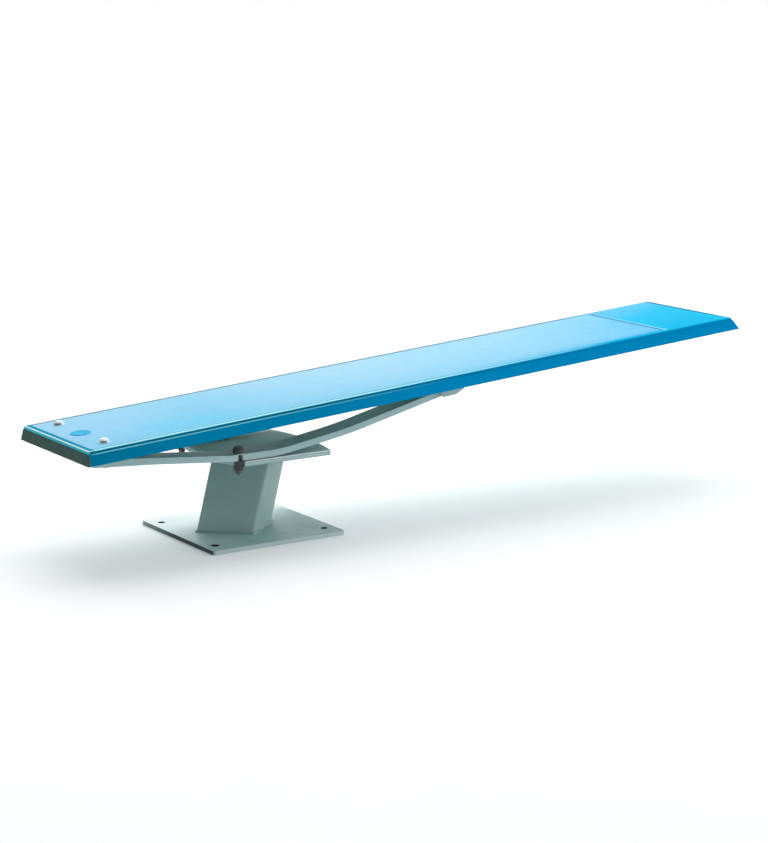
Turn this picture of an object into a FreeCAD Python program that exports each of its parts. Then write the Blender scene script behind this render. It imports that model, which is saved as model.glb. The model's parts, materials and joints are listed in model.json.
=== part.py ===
# Diving board on a leaf-spring jump stand, as a parametric assembly of
# separate pieces.  Millimetres, +X toward the tip, +Z up, +Y to the far side.
# The origin is the centre of the base plate's underside, on the deck.
import FreeCAD, Part
import math
import os
from FreeCAD import Vector, Placement, Rotation

doc = FreeCAD.newDocument("DivingBoard")
sheet = doc.addObject("Spreadsheet::Sheet", "Dims")

# ---------------------------------------------------------------- dimensions
VALUES = [
    # board, in its own frame: x from the tail lip, z from the underside
    ("board_length", 2438.4), ("board_width", 457.2), ("board_depth", 42.4),
    ("side_draft", 10.0), ("tail_draft", 9.0), ("tip_draft", 28.0),
    ("board_pitch", 4.16), ("tail_pos_x", -625.3), ("tail_pos_z", 314.2),
    ("corner_round", 6.0), ("rim_round", 4.0),
    ("skin_wall", 4.0), ("under_skin", 3.0),
    ("rim_side", 24.0), ("rim_tail", 22.0), ("tread_end", 2134.0),
    ("tread_deep", 1.2), ("tread_thick", 1.6),
    ("plank_width", 70.8), ("plank_step", 71.2), ("plank_start", 19.0),
    ("plank_end", 2398.0),
    ("tail_bolt_x", 92.5), ("tail_bolt_y", 150.0), ("tail_bolt_dia", 12.7),
    ("tail_hole_dia", 13.5), ("rail_hole_dia", 17.0),
    ("cap_dia", 31.0), ("cap_rise", 12.5), ("cap_wall", 1.6),
    ("medal_x", 91.0), ("medal_dia", 62.0), ("medal_thick", 1.8),
    # stand
    ("base_length", 457.2), ("base_width", 457.2), ("base_thick", 12.7),
    ("base_corner", 12.0), ("anchor_half_x", 190.5), ("anchor_half_y", 168.0),
    ("anchor_hole_dia", 20.6),
    ("column_half_x", 134.0), ("column_half_y", 117.0), ("column_wall", 8.0),
    ("column_foot_x", -29.0), ("column_lean", 0.257), ("column_corner", 9.0),
    ("weld_leg", 8.0),
    ("saddle_under", 243.5), ("saddle_thick", 16.5), ("saddle_half_y", 192.0),
    ("saddle_back", -142.0), ("saddle_back_side", -113.0),
    ("saddle_front", 230.0), ("saddle_front_side", 203.0),
    ("saddle_corner", 14.0),
    # spring rails
    ("rail_inner", 112.0), ("rail_width", 78.0), ("pad_thick", 4.0),
    ("pad_back", -96.0), ("pad_front", 24.0),
    ("clamp_x", -111.0), ("clamp_y", 175.0), ("clamp_dia", 12.7),
    ("rail_notch", 17.0), ("saddle_notch", 27.0),
    # fulcrum, in the board frame
    ("fulcrum_back", 1226.0), ("fulcrum_front", 1312.0),
    ("fulcrum_half_y", 207.0), ("fulcrum_pad_thick", 5.0),
    ("fulcrum_under", 22.0), ("recess_top", 10.0), ("tongue_end", 1276.0),
    ("screw_x", 1256.0), ("screw_y", 151.0), ("screw_gap", 22.0),
    ("spot_face", 21.2), ("spot_dia", 38.0),
]
sheet.set("A1", "dimension")
sheet.set("B1", "value_mm_or_deg")
NUM = {}
for row, (name, value) in enumerate(VALUES, start=2):
    sheet.set("A%d" % row, name)
    sheet.set("B%d" % row, repr(value))
    sheet.setAlias("B%d" % row, name)
    NUM[name] = value
doc.recompute()


class Q:
    """A size that carries its value and the expression that drives it."""

    def __init__(self, v, e=None):
        self.v = float(v)
        self.e = e if e is not None else ("(%r)" % float(v))

    def __add__(self, o):
        o = q(o)
        return Q(self.v + o.v, "(%s + %s)" % (self.e, o.e))

    __radd__ = __add__

    def __sub__(self, o):
        o = q(o)
        return Q(self.v - o.v, "(%s - %s)" % (self.e, o.e))

    def __rsub__(self, o):
        return q(o) - self

    def __mul__(self, o):
        o = q(o)
        return Q(self.v * o.v, "(%s * %s)" % (self.e, o.e))

    __rmul__ = __mul__

    def __truediv__(self, o):
        o = q(o)
        return Q(self.v / o.v, "(%s / %s)" % (self.e, o.e))

    def __neg__(self):
        return Q(-self.v, "(0 - %s)" % self.e)


def q(o):
    return o if isinstance(o, Q) else Q(o)


def D(name):
    return Q(NUM[name], "Dims." + name)


COS = Q(math.cos(math.radians(NUM["board_pitch"])), "cos(Dims.board_pitch)")
SIN = Q(math.sin(math.radians(NUM["board_pitch"])), "sin(Dims.board_pitch)")


def from_board(bx, bz):
    """Board-frame (x, z) as stand-frame (x, z)."""
    bx, bz = q(bx), q(bz)
    return (D("tail_pos_x") + bx * COS - bz * SIN,
            D("tail_pos_z") + bx * SIN + bz * COS)


PARTS = []


def new_body(label, on_board=False):
    b = doc.addObject("PartDesign::Body", label)
    b.Label = label
    if on_board:
        b.Placement = Placement(
            Vector(NUM["tail_pos_x"], 0, NUM["tail_pos_z"]),
            Rotation(Vector(0, 1, 0), -NUM["board_pitch"]))
        b.setExpression("Placement.Base.x", "Dims.tail_pos_x")
        b.setExpression("Placement.Base.z", "Dims.tail_pos_z")
        b.setExpression("Placement.Rotation.Angle", "0 - Dims.board_pitch")
        b.Placement.Rotation.Axis = Vector(0, 1, 0)
    PARTS.append(b)
    return b


def plane(body, role):
    for f in body.Origin.OriginFeatures:
        if f.Role == role:
            return f


def new_sketch(body, name, role="XY_Plane", at=(0, 0, 0), tilt=None):
    """Sketch on one of the body's own planes, moved by `at` in the plane's
    own axes (the third is along its normal)."""
    sk = body.newObject("Sketcher::SketchObject", name)
    sk.AttachmentSupport = [(plane(body, role), "")]
    sk.MapMode = "FlatFace"
    at = [q(c) for c in at]
    rot = Rotation(Vector(0, 1, 0), tilt.v) if tilt is not None else Rotation()
    sk.AttachmentOffset = Placement(Vector(at[0].v, at[1].v, at[2].v), rot)
    for axis, c in zip("xyz", at):
        if "Dims." in c.e:
            sk.setExpression("AttachmentOffset.Base." + axis, c.e)
    return sk


def polygon(sk, pts):
    """Closed polygon with every corner dimensioned from the sketch origin."""
    pts = [(q(a), q(b)) for a, b in pts]
    first = sk.GeometryCount
    for i in range(len(pts)):
        a, b = pts[i], pts[(i + 1) % len(pts)]
        sk.addGeometry(Part.LineSegment(Vector(a[0].v, a[1].v, 0),
                                        Vector(b[0].v, b[1].v, 0)), False)
    import Sketcher
    count = len(pts)
    for i in range(count):
        sk.addConstraint(Sketcher.Constraint(
            "Coincident", first + i, 2, first + (i + 1) % count, 1))
    for i, (a, b) in enumerate(pts):
        for kind, c in (("DistanceX", a), ("DistanceY", b)):
            k = sk.addConstraint(Sketcher.Constraint(
                kind, -1, 1, first + i, 1, c.v))
            if "Dims." in c.e:
                sk.setExpression("Constraints[%d]" % k, c.e)


def circle(sk, x, y, dia):
    import Sketcher
    x, y, dia = q(x), q(y), q(dia)
    g = sk.addGeometry(Part.Circle(Vector(x.v, y.v, 0), Vector(0, 0, 1),
                                   dia.v / 2), False)
    for kind, c in (("DistanceX", x), ("DistanceY", y)):
        k = sk.addConstraint(Sketcher.Constraint(kind, -1, 1, g, 3, c.v))
        if "Dims." in c.e:
            sk.setExpression("Constraints[%d]" % k, c.e)
    k = sk.addConstraint(Sketcher.Constraint("Diameter", g, dia.v))
    if "Dims." in dia.e:
        sk.setExpression("Constraints[%d]" % k, dia.e)


def rect(sk, x0, x1, y0, y1):
    polygon(sk, [(x0, y0), (x1, y0), (x1, y1), (x0, y1)])


def ngon(sk, x, y, flats, sides=6):
    x, y, flats = q(x), q(y), q(flats)
    r = flats / (2 * math.cos(math.pi / sides))
    polygon(sk, [(x + r * round(math.cos(2 * math.pi * i / sides), 9),
                  y + r * round(math.sin(2 * math.pi * i / sides), 9))
                 for i in range(sides)])


def pad(body, sk, length, name="Pad"):
    f = body.newObject("PartDesign::Pad", name)
    f.Profile = sk
    length = q(length)
    f.Length = length.v
    if "Dims." in length.e:
        f.setExpression("Length", length.e)
    doc.recompute()
    return f


def volume(body):
    return body.Tip.Shape.Volume


def pocket(body, sk, depth=None, name="Pocket"):
    """Cut along the sketch plane's back direction: all the way, or `depth`."""
    before = volume(body)
    f = body.newObject("PartDesign::Pocket", name)
    f.Profile = sk
    if depth is None:
        f.Type = 1
    else:
        depth = q(depth)
        f.Length = depth.v
        if "Dims." in depth.e:
            f.setExpression("Length", depth.e)
    doc.recompute()
    if not volume(body) < before - 1e-3:
        raise RuntimeError("pocket cut nothing in " + body.Label)
    return f


def revolve(body, name, at, profile):
    """Full turn about a vertical line through `at`, profile of (r, z)."""
    x, y, z = [q(c) for c in at]
    sk = new_sketch(body, name + "Sketch", "XZ_Plane", (x, z, -y))
    polygon(sk, profile)
    f = body.newObject("PartDesign::Revolution", name)
    f.Profile = sk
    f.ReferenceAxis = (sk, ["V_Axis"])
    f.Angle = 360
    doc.recompute()
    return f


def mirror(body, feats):
    """The same feature on the far side."""
    f = body.newObject("PartDesign::Mirrored", "FarSide")
    f.Originals = feats
    f.MirrorPlane = (plane(body, "XZ_Plane"), [""])
    body.Tip = f
    doc.recompute()
    return f


def fillet(body, pick, radius, name="Round"):
    base = body.Tip
    names = ["Edge%d" % (i + 1) for i, e in enumerate(base.Shape.Edges)
             if pick(e)]
    if not names:
        raise RuntimeError("no edge to round in " + body.Label + " " + name)
    f = body.newObject("PartDesign::Fillet", name)
    f.Base = (base, names)
    radius = q(radius)
    f.Radius = radius.v
    if "Dims." in radius.e:
        f.setExpression("Radius", radius.e)
    doc.recompute()
    return f


def edge_at(x, z):
    """Edges that run across the width through (x, z)."""
    def pick(e):
        if len(e.Vertexes) != 2:
            return False
        a, b = e.Vertexes[0].Point, e.Vertexes[1].Point
        return (abs(a.x - x) < 0.4 and abs(b.x - x) < 0.4 and
                abs(a.z - z) < 0.4 and abs(b.z - z) < 0.4 and
                abs(a.y - b.y) > 20)
    return pick


def upright(e):
    if len(e.Vertexes) != 2:
        return False
    a, b = e.Vertexes[0].Point, e.Vertexes[1].Point
    return abs(a.z - b.z) > 5 and e.Curve.TypeId == "Part::GeomLine"


def rising(e):
    if len(e.Vertexes) != 2:
        return False
    return abs(e.Vertexes[0].Point.z - e.Vertexes[1].Point.z) > 5


# ---------------------------------------------------------------- the stand
b = new_body("base_plate")
sk = new_sketch(b, "BasePlan")
rect(sk, -D("base_length") / 2, D("base_length") / 2,
     -D("base_width") / 2, D("base_width") / 2)
pad(b, sk, D("base_thick"))
fillet(b, upright, D("base_corner"))
sk = new_sketch(b, "AnchorHoles", at=(0, 0, D("base_thick") + 5))
for sx in (-1, 1):
    for sy in (-1, 1):
        circle(sk, sx * D("anchor_half_x"), sy * D("anchor_half_y"),
               D("anchor_hole_dia"))
pocket(b, sk)
fillet(b, lambda e: (e.BoundBox.ZMin > NUM["base_thick"] - 0.01 and
                     (e.BoundBox.XLength > 60 or e.BoundBox.YLength > 60 or
                      (abs(e.BoundBox.Center.x) > 200 and
                       abs(e.BoundBox.Center.y) > 200))), 1.2)


def diamond(sk, cx, hx, hy):
    polygon(sk, [(cx - hx, 0), (cx, -hy), (cx + hx, 0), (cx, hy)])


# Leaning square column, its corners to the front, back and sides.
column_rise = D("saddle_under") - D("base_thick")
lean = Vector(NUM["column_lean"], 0, 1)


def lean_pad(body, sk, rise, name):
    f = body.newObject("PartDesign::Pad", name)
    f.Profile = sk
    f.UseCustomVector = True
    f.Direction = lean
    f.AlongSketchNormal = True
    f.Length = q(rise).v
    if "Dims." in q(rise).e:
        f.setExpression("Length", q(rise).e)
    doc.recompute()
    return f


b = new_body("pedestal_column")
sk = new_sketch(b, "ColumnOutside", at=(0, 0, D("base_thick")))
diamond(sk, D("column_foot_x"), D("column_half_x"), D("column_half_y"))
lean_pad(b, sk, column_rise, "ColumnPad")
fillet(b, upright, D("column_corner"))
sk = new_sketch(b, "ColumnInside", at=(0, 0, D("saddle_under")))
shift = column_rise * D("column_lean")
diamond(sk, D("column_foot_x") + shift, D("column_half_x") - 1.45 * D("column_wall"),
        D("column_half_y") - 1.45 * D("column_wall"))
before = volume(b)
f = b.newObject("PartDesign::Pocket", "ColumnBore")
f.Profile = sk
f.UseCustomVector = True
f.Direction = Vector(-lean.x, 0, -1)
f.AlongSketchNormal = True
f.Length = column_rise.v
f.setExpression("Length", column_rise.e)
doc.recompute()
if not volume(b) < before * 0.5:
    f.Direction = lean
    doc.recompute()
if not volume(b) < before * 0.5:
    raise RuntimeError("column bore")


def weld_ring(label, z_thick, z_thin, cx_thick, cx_thin):
    """Fillet weld round the column: wide against the plate, fading on the
    column's faces."""
    body = new_body(label)
    leg = D("weld_leg")
    sk1 = new_sketch(body, "WeldWide", at=(0, 0, z_thick))
    diamond(sk1, cx_thick, D("column_half_x") + leg, D("column_half_y") + leg)
    sk2 = new_sketch(body, "WeldThin", at=(0, 0, z_thin))
    diamond(sk2, cx_thin, D("column_half_x") + 0.6, D("column_half_y") + 0.6)
    f = body.newObject("PartDesign::AdditiveLoft", "WeldBead")
    f.Profile = sk1
    f.Sections = [sk2]
    f.Ruled = True
    doc.recompute()
    low, cx = (z_thick, cx_thick) if z_thick.v < z_thin.v else (z_thin, cx_thin)
    high = z_thin if z_thick.v < z_thin.v else z_thick
    top_cx = cx_thin if z_thick.v < z_thin.v else cx_thick
    sk3 = new_sketch(body, "ColumnThrough", at=(0, 0, high + 1.0))
    diamond(sk3, top_cx + D("column_lean") * 1.0, D("column_half_x"),
            D("column_half_y"))
    before = volume(body)
    f = body.newObject("PartDesign::Pocket", "ColumnSpace")
    f.Profile = sk3
    f.UseCustomVector = True
    f.Direction = Vector(-lean.x, 0, -1)
    f.AlongSketchNormal = True
    f.Length = 30
    doc.recompute()
    if not volume(body) < before * 0.5:
        f.Direction = lean
        doc.recompute()
    if not volume(body) < before * 0.5:
        raise RuntimeError("weld " + label)
    return body


foot_cx = D("column_foot_x")
weld_ring("foot_weld", D("base_thick"), D("base_thick") + D("weld_leg"),
          foot_cx, foot_cx + D("column_lean") * D("weld_leg"))
weld_ring("head_weld", D("saddle_under"), D("saddle_under") - D("weld_leg"),
          foot_cx + shift, foot_cx + shift - D("column_lean") * D("weld_leg"))

# Saddle plate: straight sides, bowed ends, a cut-out at each rear corner that
# the clamp bolt and its rubber sleeve pass through.
b = new_body("saddle_plate")
sk = new_sketch(b, "SaddlePlan", at=(0, 0, D("saddle_under")))
steps = 8
pts = []
for i in range(steps + 1):
    k = -1 + 2.0 * i / steps
    bow = 1 - k * k
    pts.append((D("saddle_front_side") + bow * (D("saddle_front") - D("saddle_front_side")),
                k * D("saddle_half_y")))
for i in range(steps + 1):
    k = 1 - 2.0 * i / steps
    bow = 1 - k * k
    pts.append((D("saddle_back_side") + bow * (D("saddle_back") - D("saddle_back_side")),
                k * D("saddle_half_y")))
polygon(sk, pts)
pad(b, sk, D("saddle_thick"))
fillet(b, lambda e: upright(e) and abs(e.Vertexes[0].Point.y) > NUM["saddle_half_y"] - 0.5,
       D("saddle_corner"))


def notch(body, dia, z, half_y):
    """Bolt notch open to the outer edge, on both sides that the piece has."""
    for sy in (-1, 1):
        bb = body.Tip.Shape.BoundBox
        if (sy < 0 and bb.YMin > 0) or (sy > 0 and bb.YMax < 0):
            continue
        s1 = new_sketch(body, "NotchEnd", at=(0, 0, z))
        circle(s1, D("clamp_x"), sy * D("clamp_y"), dia)
        pocket(body, s1)
        s2 = new_sketch(body, "NotchMouth", at=(0, 0, z))
        y0, y1 = (sy * D("clamp_y"), sy * (half_y + 6.0))
        if sy < 0:
            y0, y1 = y1, y0
        rect(s2, D("clamp_x") - dia / 2, D("clamp_x") + dia / 2, y0, y1)
        pocket(body, s2)


notch(b, D("saddle_notch"), D("saddle_under") + D("saddle_thick") + 20,
      D("saddle_half_y"))

saddle_top = D("saddle_under") + D("saddle_thick")
rail_under = saddle_top + D("pad_thick")
rail_thick = q(19.0)
rail_top = rail_under + rail_thick

b = new_body("rail_pads")
sk = new_sketch(b, "PadPlan", at=(0, 0, saddle_top))
rect(sk, D("pad_back"), D("pad_front"), -(D("rail_inner") + D("rail_width")) + 1.0,
     -D("rail_inner"))
p1 = pad(b, sk, D("pad_thick"))
mirror(b, [p1])

# Clamp stack, from the top: bolt, washer, rubber dome, seat washer on the
# rail; below the saddle a rubber sleeve with a flange, washer and nut.
cx, cy = D("clamp_x"), -D("clamp_y")
seat_t, dome_t, wash_t = 2.0, 13.0, 2.0
z_seat = rail_top
z_dome = z_seat + seat_t
z_wash = z_dome + dome_t
z_head = z_wash + wash_t
hole = D("clamp_dia") / 2 + 0.05

b = new_body("clamp_seat_washers")
f = revolve(b, "SeatWasher", (cx, cy, z_seat),
            [(D("rail_notch") / 2 - 0.1, 0), (18.5, 0), (18.5, seat_t - 0.5),
             (18.0, seat_t), (D("rail_notch") / 2 - 0.1, seat_t)])
mirror(b, [f])

b = new_body("upper_bushings")
f = revolve(b, "RubberDome", (cx, cy, z_dome),
            [(hole, 0), (16.6, 0), (17.4, 1.5), (17.4, 5.0), (17.0, 9.0),
             (16.3, 11.8), (15.4, dome_t), (hole, dome_t)])
mirror(b, [f])

b = new_body("clamp_top_washers")
f = revolve(b, "TopWasher", (cx, cy, z_wash),
            [(hole, 0), (15.5, 0), (15.5, wash_t - 0.4), (15.1, wash_t),
             (hole, wash_t)])
mirror(b, [f])

b = new_body("clamp_bolts")
z_cone = D("saddle_under")
cone_t, low_wash_t, nut_t = 8.0, 2.0, 9.0
z_low_wash = z_cone - cone_t
z_nut = z_low_wash - low_wash_t
bolt_len = z_head - z_nut + nut_t + 4.0
half = D("clamp_dia") / 2
f = revolve(b, "ClampBolt", (cx, cy, z_head),
            [(0, 0), (half, 0), (13.6, 0), (13.6, 3.2), (12.2, 4.9), (10.0, 5.6),
             (0, 5.6)])
f2 = revolve(b, "ClampShank", (cx, cy, z_head),
             [(0, -bolt_len), (half - 0.8, -bolt_len), (half, -bolt_len + 1.0),
              (half, 0.2), (0, 0.2)])
mirror(b, [f, f2])

b = new_body("lower_bushings")
f = revolve(b, "RubberCone", (cx, cy, z_low_wash),
            [(hole, 0), (15.4, 0), (15.8, 1.5), (15.2, cone_t), (13.0, cone_t),
             (13.0, cone_t + 18.0), (hole, cone_t + 18.0)])
mirror(b, [f])

b = new_body("clamp_bottom_washers")
f = revolve(b, "BottomWasher", (cx, cy, z_nut),
            [(hole, 0), (15.5, 0), (15.5, low_wash_t), (hole, low_wash_t)])
mirror(b, [f])


def nuts(label, x, y, z, flats, thick, dia, on_board=False, pairs=None):
    body = new_body(label, on_board)
    feats = []
    for (px, py) in (pairs or [(x, y)]):
        s1 = new_sketch(body, "NutSketch", at=(0, 0, z))
        ngon(s1, px, py, flats)
        f1 = pad(body, s1, thick)
        feats.append(f1)
    s2 = new_sketch(body, "NutBore", at=(0, 0, q(z) + thick + 1.0))
    for (px, py) in (pairs or [(x, y)]):
        circle(s2, px, py, dia)
    f2 = pocket(body, s2)
    mirror(body, feats + [f2])
    return body


nuts("clamp_nuts", cx, cy, z_nut - nut_t, 19.0, nut_t, D("clamp_dia") + 0.1)

# ---------------------------------------------------------------- the springs
t7 = from_board(D("fulcrum_back") - 2.0, -D("recess_top") - 0.1)
t8 = from_board(D("tongue_end"), -D("recess_top") - 0.1)
b8 = from_board(D("tongue_end"), -D("fulcrum_under"))
b7 = from_board(1240.0, -D("fulcrum_under"))
t0 = from_board(36.0, -4.0)
t1 = from_board(111.0, -4.0)
RAIL = [
    (-590.0, 301.2), (-385.0, 287.0), (-142.0, rail_under),
    (27.7, rail_under), (269.0, rail_under + 37.4), b7, b8, t8, t7,
    (556.0, rail_top + 105.3), (264.7, rail_top + 36.9), (26.5, rail_top),
    (-142.0, rail_top), t1, t0,
]


def bent_outline(sk, pts, radii):
    """Closed outline of straight runs joined by tangent arcs.  Construction
    lines carry the dimensioned corners; the runs lie on them."""
    import Sketcher
    pts = [(q(a), q(b)) for a, b in pts]
    n = len(pts)
    vec = [Vector(a.v, b.v, 0) for a, b in pts]
    for i in range(n):
        sk.addGeometry(Part.LineSegment(vec[i], vec[(i + 1) % n]), True)
    for i in range(n):
        sk.addConstraint(Sketcher.Constraint("Coincident", i, 2, (i + 1) % n, 1))
    for i, (a, b) in enumerate(pts):
        for kind, c in (("DistanceX", a), ("DistanceY", b)):
            k = sk.addConstraint(Sketcher.Constraint(kind, -1, 1, i, 1, c.v))
            if "Dims." in c.e:
                sk.setExpression("Constraints[%d]" % k, c.e)
    tan = []
    for i in range(n):
        r = radii.get(i, 0)
        u = (vec[i] - vec[i - 1]).normalize()
        w = (vec[(i + 1) % n] - vec[i]).normalize()
        turn = math.atan2(u.x * w.y - u.y * w.x, u.x * w.x + u.y * w.y)
        t = r * math.tan(abs(turn) / 2)
        side = 1 if turn > 0 else -1
        p1, p2 = vec[i] - u * t, vec[i] + w * t
        centre = p1 + Vector(-u.y, u.x, 0) * (r * side)
        tan.append((r, p1, p2, centre, side))
    lines = []
    for i in range(n):
        g = sk.addGeometry(Part.LineSegment(tan[i][2], tan[(i + 1) % n][1]), False)
        lines.append(g)
    for i in range(n):
        r, p1, p2, centre, side = tan[i]
        before, after = lines[i - 1], lines[i]
        if not r:
            sk.addConstraint(Sketcher.Constraint("Coincident", before, 2, i, 1))
            sk.addConstraint(Sketcher.Constraint("Coincident", after, 1, i, 1))
            continue
        a1 = math.atan2(p1.y - centre.y, p1.x - centre.x)
        a2 = math.atan2(p2.y - centre.y, p2.x - centre.x)
        if side < 0:
            a1, a2 = a2, a1
        if a2 < a1:
            a2 += 2 * math.pi
        g = sk.addGeometry(Part.ArcOfCircle(
            Part.Circle(centre, Vector(0, 0, 1), r), a1, a2), False)
        first, last = (1, 2) if side > 0 else (2, 1)
        sk.addConstraint(Sketcher.Constraint("PointOnObject", before, 2, (i - 1) % n))
        sk.addConstraint(Sketcher.Constraint("PointOnObject", after, 1, i))
        sk.addConstraint(Sketcher.Constraint("Tangent", before, 2, g, first))
        sk.addConstraint(Sketcher.Constraint("Tangent", after, 1, g, last))
        sk.addConstraint(Sketcher.Constraint("Radius", g, float(r)))


BENDS = {1: 1500.0, 2: 250.0, 12: 250.0, 3: 600.0, 11: 600.0, 4: 1500.0,
         10: 1500.0, 9: 150.0, 5: 90.0, 13: 200.0}


def spring_rail(label, plane_y):
    body = new_body(label)
    sk = new_sketch(body, "RailSide", "XZ_Plane", (0, 0, plane_y))
    bent_outline(sk, RAIL, BENDS)
    pad(body, sk, D("rail_width"))
    side = -1 if body.Tip.Shape.BoundBox.YMax < 0 else 1
    notch(body, D("rail_notch"), rail_top + 200,
          D("rail_inner") + D("rail_width"))
    hx, hz = from_board(D("tail_bolt_x"), 0)
    s = new_sketch(body, "TailHole", at=(hx, side * D("tail_bolt_y"), hz),
                   tilt=-D("board_pitch"))
    circle(s, 0, 0, D("rail_hole_dia"))
    pocket(body, s, 60.0)
    hx, hz = from_board(D("tail_bolt_x"), -D("spot_face"))
    s = new_sketch(body, "SpotFace", at=(hx, side * D("tail_bolt_y"), hz),
                   tilt=-D("board_pitch"))
    circle(s, 0, 0, D("spot_dia"))
    pocket(body, s, 12.0)
    hx, hz = from_board(D("screw_x"), 0)
    s = new_sketch(body, "ScrewHoles", at=(hx, side * D("screw_y"), hz),
                   tilt=-D("board_pitch"))
    circle(s, 0, -D("screw_gap"), 8.4)
    circle(s, 0, D("screw_gap"), 8.4)
    pocket(body, s, 60.0)
    return body


spring_rail("near_spring_rail", D("rail_inner"))
spring_rail("far_spring_rail", -(D("rail_inner") + D("rail_width")))

# ---------------------------------------------------------------- the fulcrum
b = new_body("fulcrum_bar", True)
sk = new_sketch(b, "FulcrumSection", "XZ_Plane", (0, 0, -D("fulcrum_half_y")))
fb, ff = D("fulcrum_back"), D("fulcrum_front")
fp, fu = D("fulcrum_pad_thick"), D("fulcrum_under")
polygon(sk, [(fb, -fp), (fb, -fu + 8.0), (fb + 10.0, -fu), (ff - 33.0, -fu),
             (ff - 2.0, -fu + 12.5), (ff, -fu + 14.0), (ff, -fp)])
pad(b, sk, 2 * D("fulcrum_half_y"))
for sy in (-1, 1):
    y0, y1 = D("rail_inner") - 0.1, D("rail_inner") + D("rail_width") + 0.1
    if sy < 0:
        y0, y1 = -y1, -y0
    s = new_sketch(b, "TongueRecess", at=(0, 0, -D("recess_top")))
    rect(s, fb - 5.0, D("tongue_end") + 0.3, y0, y1)
    pocket(b, s, 20.0)
s = new_sketch(b, "ScrewClearance", at=(0, 0, 0))
for sy in (-1, 1):
    for k in (-1, 1):
        circle(s, D("screw_x"), sy * D("screw_y") + k * D("screw_gap"), 8.2)
pocket(b, s)
for sy in (-1, 1):
    for k in (-1, 1):
        y = sy * D("screw_y") + k * D("screw_gap")
        s = new_sketch(b, "Countersink", "XZ_Plane", (D("screw_x"), -fp, -y))
        polygon(s, [(0, 0.5), (8.1, 0.5), (8.1, -0.4), (4.1, -4.4), (0, -4.4)])
        before = volume(b)
        g = b.newObject("PartDesign::Groove", "CountersinkCut")
        g.Profile = s
        g.ReferenceAxis = (s, ["V_Axis"])
        g.Angle = 360
        doc.recompute()
        if not volume(b) < before - 1:
            raise RuntimeError("countersink")

b = new_body("fulcrum_screws", True)
feats = []
for k in (-1, 1):
    y = -D("screw_y") + k * D("screw_gap")
    feats.append(revolve(b, "Screw%d" % (k + 1), (D("screw_x"), y, -fp),
                         [(0, -0.1), (7.9, -0.1), (7.9, -0.5), (4.0, -4.3),
                          (4.0, -fu + fp - 10.0), (3.4, -fu + fp - 10.8),
                          (0, -fu + fp - 10.8)]))
mirror(b, feats)

nuts("fulcrum_nuts", 0, 0, -fu - 6.5, 13.0, 6.4, 8.1, True,
     [(D("screw_x"), -D("screw_y") - D("screw_gap")),
      (D("screw_x"), -D("screw_y") + D("screw_gap"))])

b = new_body("fulcrum_pad", True)
sk = new_sketch(b, "FulcrumPadPlan", at=(0, 0, -fp))
rect(sk, fb + 4.0, ff - 4.0, -D("fulcrum_half_y") + 5.0, D("fulcrum_half_y") - 5.0)
pad(b, sk, fp)

# ---------------------------------------------------------------- the board
L, W, H = D("board_length"), D("board_width"), D("board_depth")
sd, td, pd = D("side_draft"), D("tail_draft"), D("tip_draft")


def trapezoid(body, name, x, z0, z1, grow):
    """Section across the board at x, between two heights, grown sideways."""
    s = new_sketch(body, name, "YZ_Plane", (0, 0, x))
    y0 = W / 2 - sd * z0 / H + grow
    y1 = W / 2 - sd * z1 / H + grow
    polygon(s, [(-y0, z0), (y0, z0), (y1, z1), (-y1, z1)])
    return s


def end_draft(body, name, x_under, x_top, outside):
    """Trim one end to its draft; the wedge runs out to x = outside."""
    s = new_sketch(body, name, "XZ_Plane", (0, 0, W / 2 + 5.0))
    run = (x_top - x_under) / H
    polygon(s, [(outside, -1.0), (x_under - run, -1.0),
                (x_top + run, H + 1.0), (outside, H + 1.0)])
    pocket(body, s, name=name + "Cut")


b = new_body("board_shell", True)
pad(b, trapezoid(b, "AcrossBoard", q(0), q(0), H, q(0)), L)
end_draft(b, "TailDraft", q(0), td, q(-20.0))
end_draft(b, "TipDraft", L, L - pd, L + 20.0)
fillet(b, rising, D("corner_round"), "Corners")
fillet(b, lambda e: e.BoundBox.ZMin > NUM["board_depth"] - 0.05, D("rim_round"), "Rim")
wall = D("skin_wall")
inner_start, inner_end = td + wall, L - pd - wall
pocket(b, trapezoid(b, "InsideSection", inner_end, q(-1.0), H - wall, -wall),
       inner_end - inner_start)
s = new_sketch(b, "TreadRecess", at=(0, 0, H))
rect(s, td + D("rim_tail"), D("tread_end"), -(W / 2) + sd + D("rim_side"),
     (W / 2) - sd - D("rim_side"))
pocket(b, s, D("tread_deep"))
s = new_sketch(b, "BoltHoles", at=(0, 0, H + 5.0))
for sy in (-1, 1):
    circle(s, D("tail_bolt_x"), sy * D("tail_bolt_y"), D("tail_hole_dia"))
pocket(b, s)

b = new_body("bottom_skin", True)
pad(b, trapezoid(b, "SkinSection", inner_start + 0.05, q(0), D("under_skin"),
                 -wall - 0.1), inner_end - inner_start - 0.1)
s = new_sketch(b, "SkinBoltHoles", at=(0, 0, D("under_skin") + 5.0))
for sy in (-1, 1):
    circle(s, D("tail_bolt_x"), sy * D("tail_bolt_y"), D("tail_hole_dia"))
pocket(b, s)

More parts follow.
